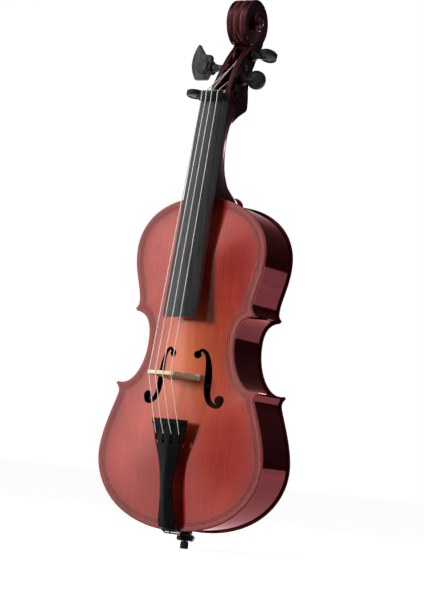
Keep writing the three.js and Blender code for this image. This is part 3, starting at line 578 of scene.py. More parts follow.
# ---------- arching ----------
class Arch:
    """Height of the plates over their flat edge, worked out once on a fine grid and then smoothed."""
    STEP = 4.0
    LOW = (-232.0, -12.0)
    COUNT = (117, 196)
    SMOOTHING_ROUNDS = 40
    FULLY_SMOOTH = 45  # how far past the flat band the smoothing reaches its full strength

    def __init__(self):
        xs = self.LOW[0] + self.STEP * np.arange(self.COUNT[0])
        zs = self.LOW[1] + self.STEP * np.arange(self.COUNT[1])
        grid = grid_points(xs, zs)
        distance = np.where(inside(grid), edge_distance(grid), 0)
        reach = read_table(smooth_table(ARCH_REACH), grid[:, 1]) - ARCH_EDGE
        rough = ARCH_HEIGHT * smoothstep((distance - ARCH_EDGE) / reach)
        rough = rough.reshape(self.COUNT)
        soft = rough.copy()
        for _ in range(self.SMOOTHING_ROUNDS):
            soft[1:-1] = (soft[:-2] + 2 * soft[1:-1] + soft[2:]) / 4
            soft[:, 1:-1] = (soft[:, :-2] + 2 * soft[:, 1:-1] + soft[:, 2:]) / 4
        share = smoothstep((distance.reshape(self.COUNT) - ARCH_EDGE) / self.FULLY_SMOOTH)
        self.height = lerp(rough, soft, share)

    def at(self, x, z):
        fx = np.clip((np.asarray(x, float) - self.LOW[0]) / self.STEP, 0, self.COUNT[0] - 1.001)
        fz = np.clip((np.asarray(z, float) - self.LOW[1]) / self.STEP, 0, self.COUNT[1] - 1.001)
        i, j = fx.astype(int), fz.astype(int)
        u, v = fx - i, fz - j
        h = self.height
        low = lerp(h[i, j], h[i + 1, j], u)
        return lerp(low, lerp(h[i, j + 1], h[i + 1, j + 1], u), v)


ARCH = Arch()


# ---------- plates ----------
# rounding of the rim: (in from the edge, below the face)
EDGE_ROUND = [(2.4, 0.0), (1.5, 0.28), (0.75, 0.8), (0.22, 1.45), (0.0, 2.25)]
GRID_PITCH = 5.0
GRID_CLEAR = 5.5  # between the face's grid and the edge


def plate_surface(points, distance):
    """How far each point of the face stands out from the flat edge."""
    channel = CHANNEL_DEPTH * np.exp(-((distance - CHANNEL_MIDDLE) / CHANNEL_WIDTH) ** 2)
    return ARCH.at(points[:, 0], points[:, 1]) - channel


def plate_blank(name, side):
    """One plate before its holes. side: -1 front, +1 back."""
    profile = EDGE_ROUND + [(i, PLATE_THICKNESS - d) for i, d in EDGE_ROUND[-2::-1]]
    rim = [inset(OUTLINE, distance, closed=True) for distance, _ in profile]
    border = rim[0]
    grid = grid_points(np.arange(-215, 216, GRID_PITCH), np.arange(5, 755, GRID_PITCH))
    grid = grid[inside(grid)]
    grid = grid[edge_distance(grid) > GRID_CLEAR]
    flat = np.vstack([border, grid])
    edges = [(i, (i + 1) % len(border)) for i in range(len(border))]
    found = delaunay_2d_cdt([Vector(p) for p in flat], edges, [list(range(len(border)))], 1, 1e-4)
    flat = np.array([(p.x, p.y) for p in found[0]])
    triangles = [tuple(face) for face in found[2]]
    face_height = plate_surface(flat, edge_distance(flat))
    count = len(flat)
    outer = np.column_stack([flat[:, 0], side * (HALF_DEPTH + face_height), flat[:, 1]])
    inner = np.column_stack([flat[:, 0], side * (HALF_DEPTH - PLATE_THICKNESS + face_height), flat[:, 1]])
    points = [outer, inner]
    faces = triangles + [tuple(i + count for i in face) for face in triangles]
    border_height = plate_surface(border, edge_distance(border))
    for (_, below), ring in zip(profile, rim):
        level = HALF_DEPTH + border_height - below
        points.append(np.column_stack([ring[:, 0], side * level, ring[:, 1]]))
    faces += faces_between(len(profile), len(border), 2 * count)
    return mesh_object(name, np.vstack(points), faces)


F_LINE = [(34, 402), (42, 407), (50.5, 401.5), (56.5, 388), (60, 369), (61.8, 346), (62.5, 325),
          (65.5, 306), (73, 291.5), (85, 284.5), (96, 286), (101, 295)]
F_HALF_WIDTHS = [(0, 3), (0.15, 4.8), (0.4, 8.2), (0.62, 8), (0.85, 5.2), (1, 3.4)]
F_EYES = [((32, 396.5), 8.8), ((94, 298), 11)]
F_NICKS = [((69, 347), (74, 347)), ((54, 347), (49, 347))]
NICK_HALF = 3.4


def stroke_outline(line, half_widths):
    """Outline of a stroke whose width changes along it."""
    curve = smooth_line(line, 6)
    half = read_table(smooth_table(half_widths), length_shares(curve))[:, None]
    across = sideways(np.gradient(curve, axis=0))
    return np.vstack([curve - across * half, (curve + across * half)[::-1]])


def sound_hole_cutters():
    """Stroke, two eyes and two nicks for each of the two holes."""
    outlines = [stroke_outline(F_LINE, F_HALF_WIDTHS)]
    outlines += [circle(x, z, radius, 32) for (x, z), radius in F_EYES]
    for (x0, z), (x1, _) in F_NICKS:
        root = x0 - (x1 - x0)
        outlines.append(np.array([(root, z - NICK_HALF), (x1, z), (root, z + NICK_HALF)]))
    low, high = -HALF_DEPTH - ARCH_HEIGHT - 4, -HALF_DEPTH + PLATE_THICKNESS + 4
    cutters = []
    for outline in outlines:
        for sign in (1, -1):
            cutters.append(prism("hole", np.array(outline) * [sign, 1], low, high, 1))
    return cutters


def box_cutter(low, high):
    outline = [(low[0], low[1]), (high[0], low[1]), (high[0], high[1]), (low[0], high[1])]
    return prism("box", outline, low[2], high[2], 2)


RIM_REACH = 44  # how far in the darker rim fades out
WARM_MIDDLE = 372
WARM_REACH = (78, 130)  # across and along


def paint_plate(obj):
    """Where the darker rim and the lighter middle are, for the varnish."""
    flat = vertex_places(obj)[:, [0, 2]]
    across = flat[:, 0] / WARM_REACH[0]
    along = (flat[:, 1] - WARM_MIDDLE) / WARM_REACH[1]
    paint(obj, "rim", 0.58 * (1 - smoothstep(edge_distance(flat) / RIM_REACH)))
    paint(obj, "warmth", 0.55 * np.exp(-(across ** 2 + along ** 2)))


def inlaid_lines(side, cut_from):
    """Two thin dark lines inlaid all round the plate, a hair above the face."""
    strips = []
    for offset in (-PURFLING_OFFSET, PURFLING_OFFSET):
        for half in (RIGHT, mirrored(RIGHT)):
            inner, outer = (inset(half, PURFLING + offset + w) for w in (PURFLING_HALF, -PURFLING_HALF))
            free = edge_distance((inner + outer) / 2) > PURFLING + offset - 1.2
            clear = (half[:, 1] < cut_from) | (abs(half[:, 0]) > NECK_FOOT_HALF + 4)
            keep = free & clear
            for a in range(len(half) - 1):
                if keep[a] and keep[a + 1]:
                    strips.append((inner[a], inner[a + 1], outer[a + 1], outer[a]))
    flat = np.array(strips).reshape(-1, 2)
    level = HALF_DEPTH + 0.12 + plate_surface(flat, edge_distance(flat))
    top = np.column_stack([flat[:, 0], side * level, flat[:, 1]])
    bottom = top - [0, side * 0.5, 0]
    count = len(flat)
    faces = []
    for k in range(0, count, 4):
        faces.append((k, k + 1, k + 2, k + 3))
        for i in range(4):
            j = (i + 1) % 4
            faces.append((k + i, k + j, k + j + count, k + i + count))
    return mesh_object("inlay", np.vstack([top, bottom]), faces)


def riding_trim(obj, name, body, material):
    """A piece that stands for no CAD node, such as an inlaid line."""
    obj.name = name
    shade(obj, [material], SHARP_FROM)
    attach(obj, body)


def paint_inside_shade(obj, depth, outward=None):
    """Second material, painted shade of the body's hollow, on faces deeper than depth inside the outline,
    except those that look outward.
    """
    count = len(obj.data.polygons)
    centres, normals = np.zeros(count * 3), np.zeros(count * 3)
    obj.data.polygons.foreach_get("center", centres)
    obj.data.polygons.foreach_get("normal", normals)
    centres = centres.reshape(-1, 3) / MM - [0, 0, LIFT]
    inner = (edge_distance(centres[:, [0, 2]]) > depth) & inside(centres[:, [0, 2]])
    if outward:
        inner &= normals.reshape(-1, 3)[:, 1] * outward < 0.5
    obj.data.polygons.foreach_set("material_index", inner.astype(np.int32))


def top_plate():
    obj = plate_blank("top", -1)
    neck_half = NECK_FOOT_HALF + GAP
    cutters = sound_hole_cutters()
    cutters.append(box_cutter((-neck_half, -110, NECK_FOOT - GAP), (neck_half, 0, 800)))
    cutters.append(box_cutter((-20.3, -110, -20), (20.3, 0, 9.3)))
    carve(obj, cutters)
    paint_plate(obj)
    finish_piece(obj, "top_plate", ROOT, [VARNISH, INSIDE_SHADE])
    paint_inside_shade(obj, OVERHANG + 1, -1)
    riding_trim(inlaid_lines(-1, 730), "top_inlay", ROOT, INLAY)


def back_plate():
    plate = plate_blank("back", 1)
    disc = circle(0, 750, 25, 40)
    upper = disc[disc[:, 1] > 742]
    low, high = HALF_DEPTH - PLATE_THICKNESS, HALF_DEPTH
    button = prism("button", upper[np.argsort(np.arctan2(upper[:, 1] - 742, upper[:, 0]))], low, high, 1)
    bevel(button, 1.2)
    obj = finish_piece(join([plate, button]), "back_plate", ROOT, [DARK, INSIDE_SHADE])
    paint_inside_shade(obj, OVERHANG + 1, 1)
    riding_trim(inlaid_lines(1, 800), "back_inlay", ROOT, INLAY)


# ---------- ribs ----------
def meeting_point(line_a, line_b):
    return (line_a[-1] + line_b[0]) / 2


def rib_lines(distance):
    """The three bouts' lines at one distance in from the edge, running together at the corners."""
    lines = []
    for bout in (LOWER, WAIST, UPPER):
        moved = inset(bout, distance)
        lines.append(moved[edge_distance(moved) > distance - 0.25])
    lower, waist, upper = lines
    low_corner = meeting_point(lower, waist)
    high_corner = meeting_point(waist, upper)
    lower = lower[lower[:, 0] > 0.6]
    upper = upper[upper[:, 0] > TENON_HALF + 1]
    return {
        "lower": np.vstack([lower, low_corner]),
        "waist": np.vstack([low_corner, waist, high_corner]),
        "upper": np.vstack([high_corner, upper]),
    }


def resampled(line, count):
    share = length_shares(line)
    places = np.linspace(0, 1, count)
    return np.column_stack([np.interp(places, share, line[:, k]) for k in (0, 1)])


def ribs():
    outer = rib_lines(OVERHANG)
    inner = rib_lines(OVERHANG + RIB_THICKNESS)
    for bout in outer:
        out_line = resampled(outer[bout], 70)
        in_line = resampled(inner[bout], 70)
        for sign, side in ((1, "treble"), (-1, "bass")):
            rings = []
            for (ox, oz), (ix, iz) in zip(out_line, in_line):
                rings.append([(sign * ox, -RIB_HALF_DEPTH, oz), (sign * ox, RIB_HALF_DEPTH, oz),
                              (sign * ix, RIB_HALF_DEPTH, iz), (sign * ix, -RIB_HALF_DEPTH, iz)])
            obj = skin("rib", rings)
            if bout == "lower":
                carve(obj, [turned("bore", [(13.6, -20), (13.6, 60)], 32, 2)])
            finish_piece(obj, f"{bout}_rib_{side}", ROOT, [DARK, INSIDE_SHADE])
            paint_inside_shade(obj, OVERHANG + RIB_THICKNESS - 0.4)


# ---------- neck, pegbox and scroll ----------
def below_datum(line, z):
    at_datum, per_mm = line
    return at_datum + per_mm * (NECK_DATUM - z)


def glue_line(z):
    return below_datum(GLUE_LINE, z)


def board_half_width(z):
    return below_datum(BOARD_HALF_WIDTH, z)


def board_edge(z):
    return below_datum(BOARD_EDGE, z)


NECK_BACK = smooth_table([(750, 60.2), (757, 50), (768, 30), (785, 1), (812, -21), (835, -30), (860, -34),
                          (890, -34), (922, -26), (940, -16), (952, -6), (966, 10), (978, 20)])
NECK_BACK_HALF = 23
NECK_ROUNDNESS = 0.8  # below 1 is squarer than a circle
TUCK = 3.0  # how far the shaft's top end is drawn in, so that it lies inside the pegbox
TUCK_FROM = 945
TUCK_OVER = 31


def neck_ring(z):
    front = glue_line(z)
    back = read_table(NECK_BACK, z)
    depth = back - front
    tuck = TUCK * smoothstep((z - TUCK_FROM) / TUCK_OVER)
    half = min(board_half_width(z) - 0.6, NECK_FOOT_HALF) - tuck
    heel = smoothstep((z - 750) / 45)
    back_half = lerp(half, NECK_BACK_HALF - tuck, heel)
    shoulder = lerp(0.55, 0.80, heel)
    flank = lerp(half, back_half, 0.4)
    round_from = front + depth * shoulder
    flank_y = front + depth * shoulder * 0.6
    ring = [(-half, front, z), (half, front, z), (flank, flank_y, z)]
    for angle in np.linspace(0, math.pi, 25):
        across = math.copysign(abs(math.cos(angle)) ** NECK_ROUNDNESS, math.cos(angle))
        outward = math.sin(angle) ** NECK_ROUNDNESS
        ring.append((back_half * across, round_from + (back - round_from) * outward, z))
    ring.append((-flank, flank_y, z))
    return ring


PEGBOX_BOTTOM = 930
PEGBOX_HALF = [(900, 14), (930, 19), (940, 21.5), (952, 23.5), (961, 25.2), (969, 26.9), (980, 28.2),
               (985, 28.2), (1000, 27.6), (1015, 25.8), (1030, 24.6), (1075, 23.2), (1130, 24), (1240, 24)]
CAVITY_HALF = [(980, 15), (1040, 12), (1120, 10)]
PEGBOX_FRONT = [(glue_line(NUT_TOP), NUT_TOP), (-55, 1000), (-50, 1015), (-43, 1030), (-27, 1060),
                (-7, 1090), (8, 1108), (22, 1124), (30, 1140)]
PEGBOX_BACK = [(84, 1160), (76, 1132), (58, 1100), (45, 1072), (35, 1048), (31.5, 1029), (31, 1005),
               (30.5, 980), (29, 974), (24, 969), (12, 961), (0, 952), (-12, 940), (-22, PEGBOX_BOTTOM)]
CAVITY_FLOOR = [(14, 994), (15, 1029), (29, 1072), (43, 1096), (42, 1112), (26, 1121)]


def side_slab(name, outline, half_table):
    """A (y, z) outline made solid across x, as wide at each height as the table says."""
    outline = np.array(outline, float)
    half = read_table(half_table, outline[:, 1])
    return skin(name, [np.column_stack([x, outline]) for x in (-half, half)])


def pegbox():
    """Solid blank with rounded edges, then the cavity and the peg holes."""
    chin = (glue_line(PEGBOX_BOTTOM), PEGBOX_BOTTOM)
    profile = np.vstack([[chin], smooth_line(PEGBOX_FRONT, 5), smooth_line(PEGBOX_BACK, 5)])
    blank = side_slab("pegbox", profile, PEGBOX_HALF)
    bevel(blank, 2.2)
    (_, low), (_, high) = CAVITY_FLOOR[0], CAVITY_FLOOR[-1]
    cavity = np.vstack([[(-120, low)], smooth_line(CAVITY_FLOOR, 5), [(-120, high)]])
    hollow = side_slab("cavity", cavity, CAVITY_HALF)
    holes = [turned("hole", [(PEG_HOLE_RADIUS, -60), (PEG_HOLE_RADIUS, 60)], 32, 0, (0, peg["y"], peg["z"]))
             for peg in PEGS.values()]
    carve(blank, [hollow, *holes])
    return blank


SCROLL_CENTRE = (38, 1182)
SCROLL_RADIUS = smooth_table([(-60, 54), (0, 54), (90, 56), (180, 55), (225, 57), (250, 57),
                              (268, 47), (285, 35), (305, 29), (330, 27.5), (400, 27), (500, 25),
                              (600, 21), (660, 16)])
SCROLL_HALF = smooth_table([(-60, 24), (80, 25), (150, 26.5), (240, 25), (285, 27), (330, 30), (450, 31.5),
                            (600, 33), (660, 34)])
FLUTE_DEPTH = 4.2
FLUTE_MIDDLE = 0.36  # middle of each channel, as a share of the band's half width
FLUTE_REACH = 0.24
HUB_RADIUS = 50
HUB_HALF = 23.2


def scroll():
    """A fluted band that winds in and stands out further at each turn, and the eye in its middle."""
    rings = []
    for degrees in np.arange(-45, 661, 5):
        radius = read_table(SCROLL_RADIUS, degrees)
        half = read_table(SCROLL_HALF, degrees)
        root = read_table(SCROLL_RADIUS, min(degrees + 360, 660)) - 3
        root = min(root, radius - 4)
        depth = min(FLUTE_DEPTH, (radius - root) * 0.45)
        cheek = [(half - 1.2, radius), (half, radius - 1.4), (half - 1.0, radius - 7), (half - 1.4, root)]
        section = [(-x, r) for x, r in cheek[::-1]]
        for across in np.linspace(-1, 1, 41)[1:-1]:
            aside = abs(abs(across) - FLUTE_MIDDLE) / FLUTE_REACH
            dip = math.sqrt(1 - aside * aside) if aside < 1 else 0
            section.append((across * (half - 2.4), radius - depth * dip - 0.4 * abs(across) ** 6))
        section += cheek
        angle = math.radians(degrees)
        rings.append([(x, SCROLL_CENTRE[0] + r * math.cos(angle), SCROLL_CENTRE[1] + r * math.sin(angle))
                      for x, r in section])
    band = skin("scroll", rings)
    eye_face = [(0.5, 36.4), (7, 36), (11, 34.4), (12.8, 31), (16, 29)]
    eye = turned("eye", both_faces(eye_face), 40, 0, (0, SCROLL_CENTRE[0] + 2, SCROLL_CENTRE[1] + 3))
    hub_face = [(0.5, HUB_HALF), (HUB_RADIUS - 1, HUB_HALF), (HUB_RADIUS, HUB_HALF - 1)]
    hub = turned("hub", both_faces(hub_face), 72, 0, (0, *SCROLL_CENTRE))
    return join([band, eye, hub])


def paint_channels(obj):
    """Where the scroll's two channels are, for the highlight painted into the varnish."""
    places = vertex_places(obj)
    y, z = places[:, 1] - SCROLL_CENTRE[0], places[:, 2] - SCROLL_CENTRE[1]
    degrees = np.degrees(np.arctan2(z, y)) % 360
    on_band = (np.hypot(y, z) > 48) & (degrees < 262)
    across = abs(places[:, 0]) / (read_table(SCROLL_HALF, degrees) - 2.4)
    in_channel = abs(across - FLUTE_MIDDLE) < FLUTE_REACH
    # painted highlight: marks the channels to be drawn lighter
    paint(obj, "worn", on_band & in_channel)


def neck():
    heights = np.concatenate([np.arange(NECK_FOOT, 800, 3.5), np.arange(800, 979, 4)])
    shaft = skin("shaft", [neck_ring(z) for z in heights])
    tenon = box_cutter((-TENON_HALF, -RIB_HALF_DEPTH, 738), (TENON_HALF, RIB_HALF_DEPTH, 752))
    obj = join([shaft, tenon, pegbox(), scroll()])
    paint_channels(obj)
    finish_piece(obj, "neck", ROOT, NECK_DARK)


# ---------- fingerboard and nut ----------
def board_ring(z):
    half = board_half_width(z)
    edge = board_edge(z)
    back = glue_line(z) - GAP
    ring = [(half, back, z), (half - 7, back, z)]
    free = smoothstep((NECK_FOOT - 8 - z) / 20)
    for across in np.linspace(0.82, -0.82, 9):
        hollow = 7.5 * free * (1 - (across / 0.82) ** 2)
        ring.append((across * (half - 7), back - hollow, z))
    ring += [(-half + 7, back, z), (-half, back, z), (-half, edge + 1.2, z)]
    for x in np.linspace(-half + 0.7, half - 0.7, 25):
        rise = math.sqrt(BOARD_RADIUS ** 2 - x ** 2) - math.sqrt(BOARD_RADIUS ** 2 - half ** 2)
        ring.append((x, edge - rise, z))
    ring.append((half, edge + 1.2, z))
    return ring


def fingerboard():
    heights = [BOARD_END, BOARD_END + 0.8, *np.linspace(490, NUT_BOTTOM - GAP, 30)]
    obj = skin("board", [board_ring(z) for z in heights])
    finish_piece(obj, "fingerboard", ROOT, BOARD_EBONY)


# ---------- strings ----------
PEGS = {
    "c": {"side": -1, "y": -23, "z": 1003, "wall": 28.6, "reach": 54, "turn": 84, "head": "round"},
    "a": {"side": 1, "y": -7, "z": 1038, "wall": 25.6, "reach": 40, "turn": 4, "head": "round"},
    "g": {"side": -1, "y": 10, "z": 1072, "wall": 24.8, "reach": 66.6, "turn": 0, "head": "leaf"},
    "d": {"side": 1, "y": 32, "z": 1104, "wall": 25, "reach": 42, "turn": 68, "head": "round"},
}
STRINGS = {
    "c": {"place": -1, "coil": -6.5, "radius": 1.15},
    "g": {"place": -1 / 3, "coil": -4, "radius": 1.05},
    "d": {"place": 1 / 3, "coil": 3, "radius": 0.95},
    "a": {"place": 1, "coil": 6, "radius": 0.9},
}
COIL_TURNS = 2.25


def string_crown(place):
    return 4 * (1 - place * place)


def string_places(place):
    crown = string_crown(place)
    tail, over_bridge, over_nut = (place * SPREAD[key] / 2 for key in ("tailpiece", "bridge", "nut"))
    return {
        "slot": (tail, *SLOT_PLACE),
        "ridge": (tail, RIDGE_PLACE[0] - crown, RIDGE_PLACE[1]),
        "bridge": (over_bridge, BRIDGE_STRING_Y - crown, BRIDGE_HEIGHT),
        "nut": (over_nut, NUT_STRING_Y - crown, NUT_BOTTOM + 2),
        "nut_end": (over_nut, NUT_STRING_Y - crown, NUT_TOP - 3),
    }


def string_path(name):
    string, peg = STRINGS[name], PEGS[name]
    places = string_places(string["place"])
    end = places["nut_end"]
    reel = PEG_RADIUS + GAP + string["radius"]
    leave = math.atan2(NUT_TOP + 2 - peg["z"], end[1] - peg["y"]) - math.pi / 2 + 0.1
    pitch = 2 * string["radius"] + GAP
    coil = []
    for share in np.linspace(0, 1, 64):
        angle = leave - 2 * math.pi * COIL_TURNS * share
        x = string["coil"] - math.copysign(1, string["place"]) * pitch * COIL_TURNS * share
        coil.append((x, peg["y"] + reel * math.cos(angle), peg["z"] + reel * math.sin(angle)))
    over_nut = (end[0], end[1] + 1.2, NUT_TOP + 1.5 + string["radius"])
    straight = [places[key] for key in ("slot", "ridge", "bridge", "nut", "nut_end")]
    return [*straight, over_nut, *coil]


def strings():
    for name, string in STRINGS.items():
        obj = tube("string", string_path(name), string["radius"], 10)
        finish_piece(obj, f"string_{name}", ROOT, STRING, 60)


# ---------- pegs ----------
HEAD_RADIUS = 22
LEAF_BOSS = (5, 2)  # middle of the round boss, beside the peg's axis
# bulb and flange on its stem: (radius, place from x = 0)
LEAF_STEM = [(7.6, 50), (9.4, 53), (10, 56), (9.4, 59.5), (8.4, 62), (9, 63.6), (13, 64.2), (15.6, 63.7),
             (16.4, 64.2), (16.5, 65.6), (15.8, 66.5), (10, 67.2), (9, 70)]
STEM_ENDS = 45  # where the leaf's own stem takes over from the plain one


def leaf_outline():
    """Pointed blade over a flat foot."""
    return np.vstack([
        bezier((4, 32), (-2, 40), (-9, 48), (-13.6, 56.5), 8),
        bezier((-13.6, 56.5), (-24, 42), (-29, 24), (-29, 7), 12)[1:],
        bezier((-29, 7), (-28, -8), (-22, -18), (-16.6, -28), 8)[1:],
        bezier((14, -28), (20, -20), (24, -10), (24, 4), 8),
        [(24, 25), (20, 31)],
    ])


def turn_about_x(obj, degrees, y, z):
    centre = Vector((0, y * MM, (z + LIFT) * MM))
    turn = Matrix.Rotation(math.radians(degrees), 4, "X")
    obj.data.transform(Matrix.Translation(centre) @ turn @ Matrix.Translation(-centre))


def round_head(outer, y, z):
    """Disc with a raised rim and a shallow dish on each face. Its own axis is Y."""
    face = [(0.3, 6.0), (8, 5.8), (14.5, 5.0), (16.6, 4.4), (17.4, 5.6), (18.6, 6.5), (20.4, 6.3),
            (21.6, 5.2), (HEAD_RADIUS, 3.2)]
    return turned("head", [(r, y + along) for r, along in both_faces(face)], 48, 1, (outer, 0, z))


def leaf_head(outer, y, z):
    """The blade, and the round boss with rings that stands in front of it."""
    blade = prism("blade", leaf_outline() + [outer, z], y - 6.5, y + 6.5, 1)
    bevel(blade, 1.8)
    profile = [(0.3, -15.2), (6, -15.2), (8.4, -16), (10.6, -16.5), (12.6, -16), (13.6, -14.4),
               (14.2, -11.6), (15.4, -12.2), (16.6, -11.8), (17.4, -10.2), (17.5, -8), (17, -5), (0.3, -5)]
    middle = (outer + LEAF_BOSS[0], 0, z + LEAF_BOSS[1])
    boss = turned("boss", [(r, y + along) for r, along in profile], 48, 1, middle)
    return join([blade, boss])


def peg(name):
    place = PEGS[name]
    side, y, z, wall = (place[key] for key in ("side", "y", "z", "wall"))
    outer = wall + place["reach"]
    is_leaf = place["head"] == "leaf"
    neck_end = outer - HEAD_RADIUS + 6
    rings = [(9.5, 0.8), (11.6, 1.8), (12.5, 3.4), (12.5, 5.2), (11.6, 6.6), (9.2, 7.4), (8.6, 8.4),
             (9.4, 9.6), (8.4, 11), (7.2, 13)]
    profile = [(0.3, -wall - 1.5), (5.9, -wall - 1.5), (PEG_RADIUS, -wall - 0.9), (PEG_RADIUS, wall + 0.3)]
    profile += [(radius, wall + out) for radius, out in rings]
    profile += [(7.0, lerp(wall + 15, neck_end, 0.4)), (8.0, lerp(wall + 15, neck_end, 0.8)), (9, neck_end),
                (8.6, outer - 4), (5, outer), (0.3, outer)]
    if is_leaf:
        profile = [row for row in profile if row[1] < STEM_ENDS] + LEAF_STEM + profile[-2:]
    stem = turned("stem", [(r, side * along) for r, along in profile], 40, 0, (0, y, z))
    head = (leaf_head if is_leaf else round_head)(side * outer, y, z)
    turn_about_x(head, place["turn"], y, z)
    finish_piece(join([stem, head]), f"peg_{name}", f"{name}_peg", PEG_GRAY if is_leaf else PEG_BLACK)


# ---------- nut, bridge and tailpiece ----------
def string_slots(where, clearance, front, behind, low, high):
    """A cutter for each string, from in front of its axis to a little behind the string."""
    cutters = []
    for string in STRINGS.values():
        x, y, _ = string_places(string["place"])[where]
        half = string["radius"] + clearance
        cutters.append(box_cutter((x - half, y - front, low), (x + half, y + half + behind, high)))
    return cutters


def nut():
    half = board_half_width(NUT_BOTTOM) + 0.3
    back = glue_line(NUT_BOTTOM) - GAP
    outline = [(-half, back), (half, back)]
    for place in np.linspace(1.42, -1.42, 21):
        outline.append((place * SPREAD["nut"] / 2, NUT_STRING_Y - string_crown(place) - 0.6))
    obj = prism("nut", outline, NUT_BOTTOM, NUT_TOP, 2)
    bevel(obj, 1.2)
    carve(obj, string_slots("nut", 0.5, 6, 0, NUT_BOTTOM - 5, NUT_TOP + 5))
    finish_piece(obj, "nut", ROOT, PEG_BLACK)


def bridge():
    """Carved outline with waisted legs, side wings and a heart, thinner towards the top."""
    foot = -HALF_DEPTH - GAP - float(max(ARCH.at(x, BRIDGE_HEIGHT) for x in (24, 36, 47))) - 0.4
    right = np.vstack([
        bezier((0, -112), (9, -112), (16, -106), (20, -96), 8),
        [(24, foot - 7), (24, foot), (47, foot), (47, foot - 5)],
        bezier((47, foot - 5), (40, foot - 10), (35, -104), (35, -112), 8)[1:],
        bezier((35, -112), (37, -121), (33, -125), (31, -129), 5)[1:],
        bezier((31, -129), (30, -134), (41, -134), (42, -141), 6)[1:],
        bezier((42, -141), (42, -149), (33, -152), (33, -162), 6)[1:],
        [(33.4, BRIDGE_TOP + 3)],
    ])
    crown = [(share * 33, BRIDGE_TOP - 2.6 * (1 - share * share)) for share in (0.85, 0.6, 0.3, 0)]
    outline = np.vstack([right, crown, mirrored([*right[1:], *crown[:-1]])])
    obj = prism("bridge", outline, BRIDGE_HEIGHT - BRIDGE_FOOT_HALF, BRIDGE_HEIGHT + BRIDGE_FOOT_HALF, 2)
    middle = (BRIDGE_HEIGHT + LIFT) * MM
    places = np.array([v.co for v in obj.data.vertices])
    for vertex, place in zip(obj.data.vertices, places):
        share = np.clip((foot - place[1] / MM) / (foot - BRIDGE_TOP), 0, 1)
        vertex.co.z = middle + (place[2] - middle) * (1 - share * BRIDGE_TAPER / BRIDGE_FOOT_HALF)
    bevel(obj, 0.5, 2)
    lobe = np.vstack([bezier((0, -126), (3, -130), (8, -134), (7.5, -140), 8),
                      bezier((7.5, -140), (6, -146), (1, -145), (0, -141), 8)[1:]])
    heart = np.vstack([lobe, mirrored(lobe)[1:-1]])
    heart_cutter = prism("heart", heart, BRIDGE_HEIGHT - 20, BRIDGE_HEIGHT + 20, 2)
    carve(obj, [heart_cutter, *string_slots("bridge", 0.5, 8, 1.4, BRIDGE_HEIGHT - 15, BRIDGE_HEIGHT + 15)])
    finish_piece(obj, "bridge", ROOT, BRIDGE_WOOD)


TAILPIECE_ENDS = (7, 247)
TAILPIECE_HALF = smooth_table([(7, 20), (20, 22), (50, 18.6), (80, 16.2), (110, 16.4), (140, 20),
                               (170, 27.5), (200, 36), (230, 42.5), (247, 45.5)])
TAILPIECE_EDGE = smooth_table([(7, -87), (50, -97.5), (110, -109), (170, -113), (247, -121)])
KEYHOLE_HEIGHT = 196


def tailpiece_ring(z):
    """Two sloping facets that meet in a soft ridge."""
    half = read_table(TAILPIECE_HALF, z)
    edge = read_table(TAILPIECE_EDGE, z)
    ring = [(half - 1, edge + 6, z), (-half + 1, edge + 6, z), (-half, edge + 5, z), (-half, edge + 1.2, z)]
    for across in np.linspace(-1, 1, 21):
        ring.append((across * (half - 1), edge - 8 * (1 - abs(across) ** 1.25), z))
    ring += [(half, edge + 1.2, z), (half, edge + 5, z)]
    return ring


def tailpiece():
    obj = skin("tailpiece", [tailpiece_ring(z) for z in np.linspace(*TAILPIECE_ENDS, 61)])
    bevel(obj, 0.8, 2, 50)
    top = RIDGE_PLACE[0] + 1.6
    ridge_line = [(-40, -118), (40, -118), (38, top + 1), (30, top - 0.4), (10, top - 4), (-10, top - 4),
                  (-30, top - 0.4), (-38, top + 1)]
    ridge = prism("ridge", ridge_line, 235, 241, 2)
    bevel(ridge, 1.0)
    cutters = []
    for string in STRINGS.values():
        x = string_places(string["place"])["slot"][0]
        half = string["radius"] + 0.7
        cutters.append(box_cutter((x - half, -150, KEYHOLE_HEIGHT), (x + half, -100, 229)))
        cutters.append(prism("keyhole", circle(x, KEYHOLE_HEIGHT, 4.2, 24), -150, -100, 1))
    carve(obj, cutters)
    carve(ridge, string_slots("ridge", 0.7, 8, 1.4, 210, 260))
    finish_piece(join([obj, ridge]), "tailpiece", ROOT, TAIL_BLACK)


def saddle():
    back = -RIB_HALF_DEPTH - GAP
    profile = [(back, -1.5), (-72, -1.5), (-76, 2.5), (-74, 9), (back, 9)]
    obj = prism("saddle", profile, -20, 20, 0)
    bevel(obj, 0.8)
    finish_piece(obj, "saddle", ROOT, BOARD_EBONY)


COLLAR_NECK = 12  # radius where the cord goes round
CORD_RADIUS = 1.7


def tail_cord():
    loop = COLLAR_NECK + CORD_RADIUS + 0.6
    side = smooth_line([(8, -84, 6.7), (8, -83, 1), (8, -79, -3.2), (8, -72, -4.4), (10, -58, -5),
                        (loop, -12, -6.5)], 6)
    bend = [(loop * math.cos(a), loop * math.sin(a), -6.5) for a in np.linspace(0, math.pi, 24)]
    other = (side * [-1, 1, 1])[::-1]
    obj = tube("cord", np.vstack([side, bend[1:-1], other]), CORD_RADIUS, 12)
    finish_piece(obj, "tail_cord", ROOT, RUBBER, 60)


# ---------- endpin ----------
SCREW_HEIGHT = -14.6


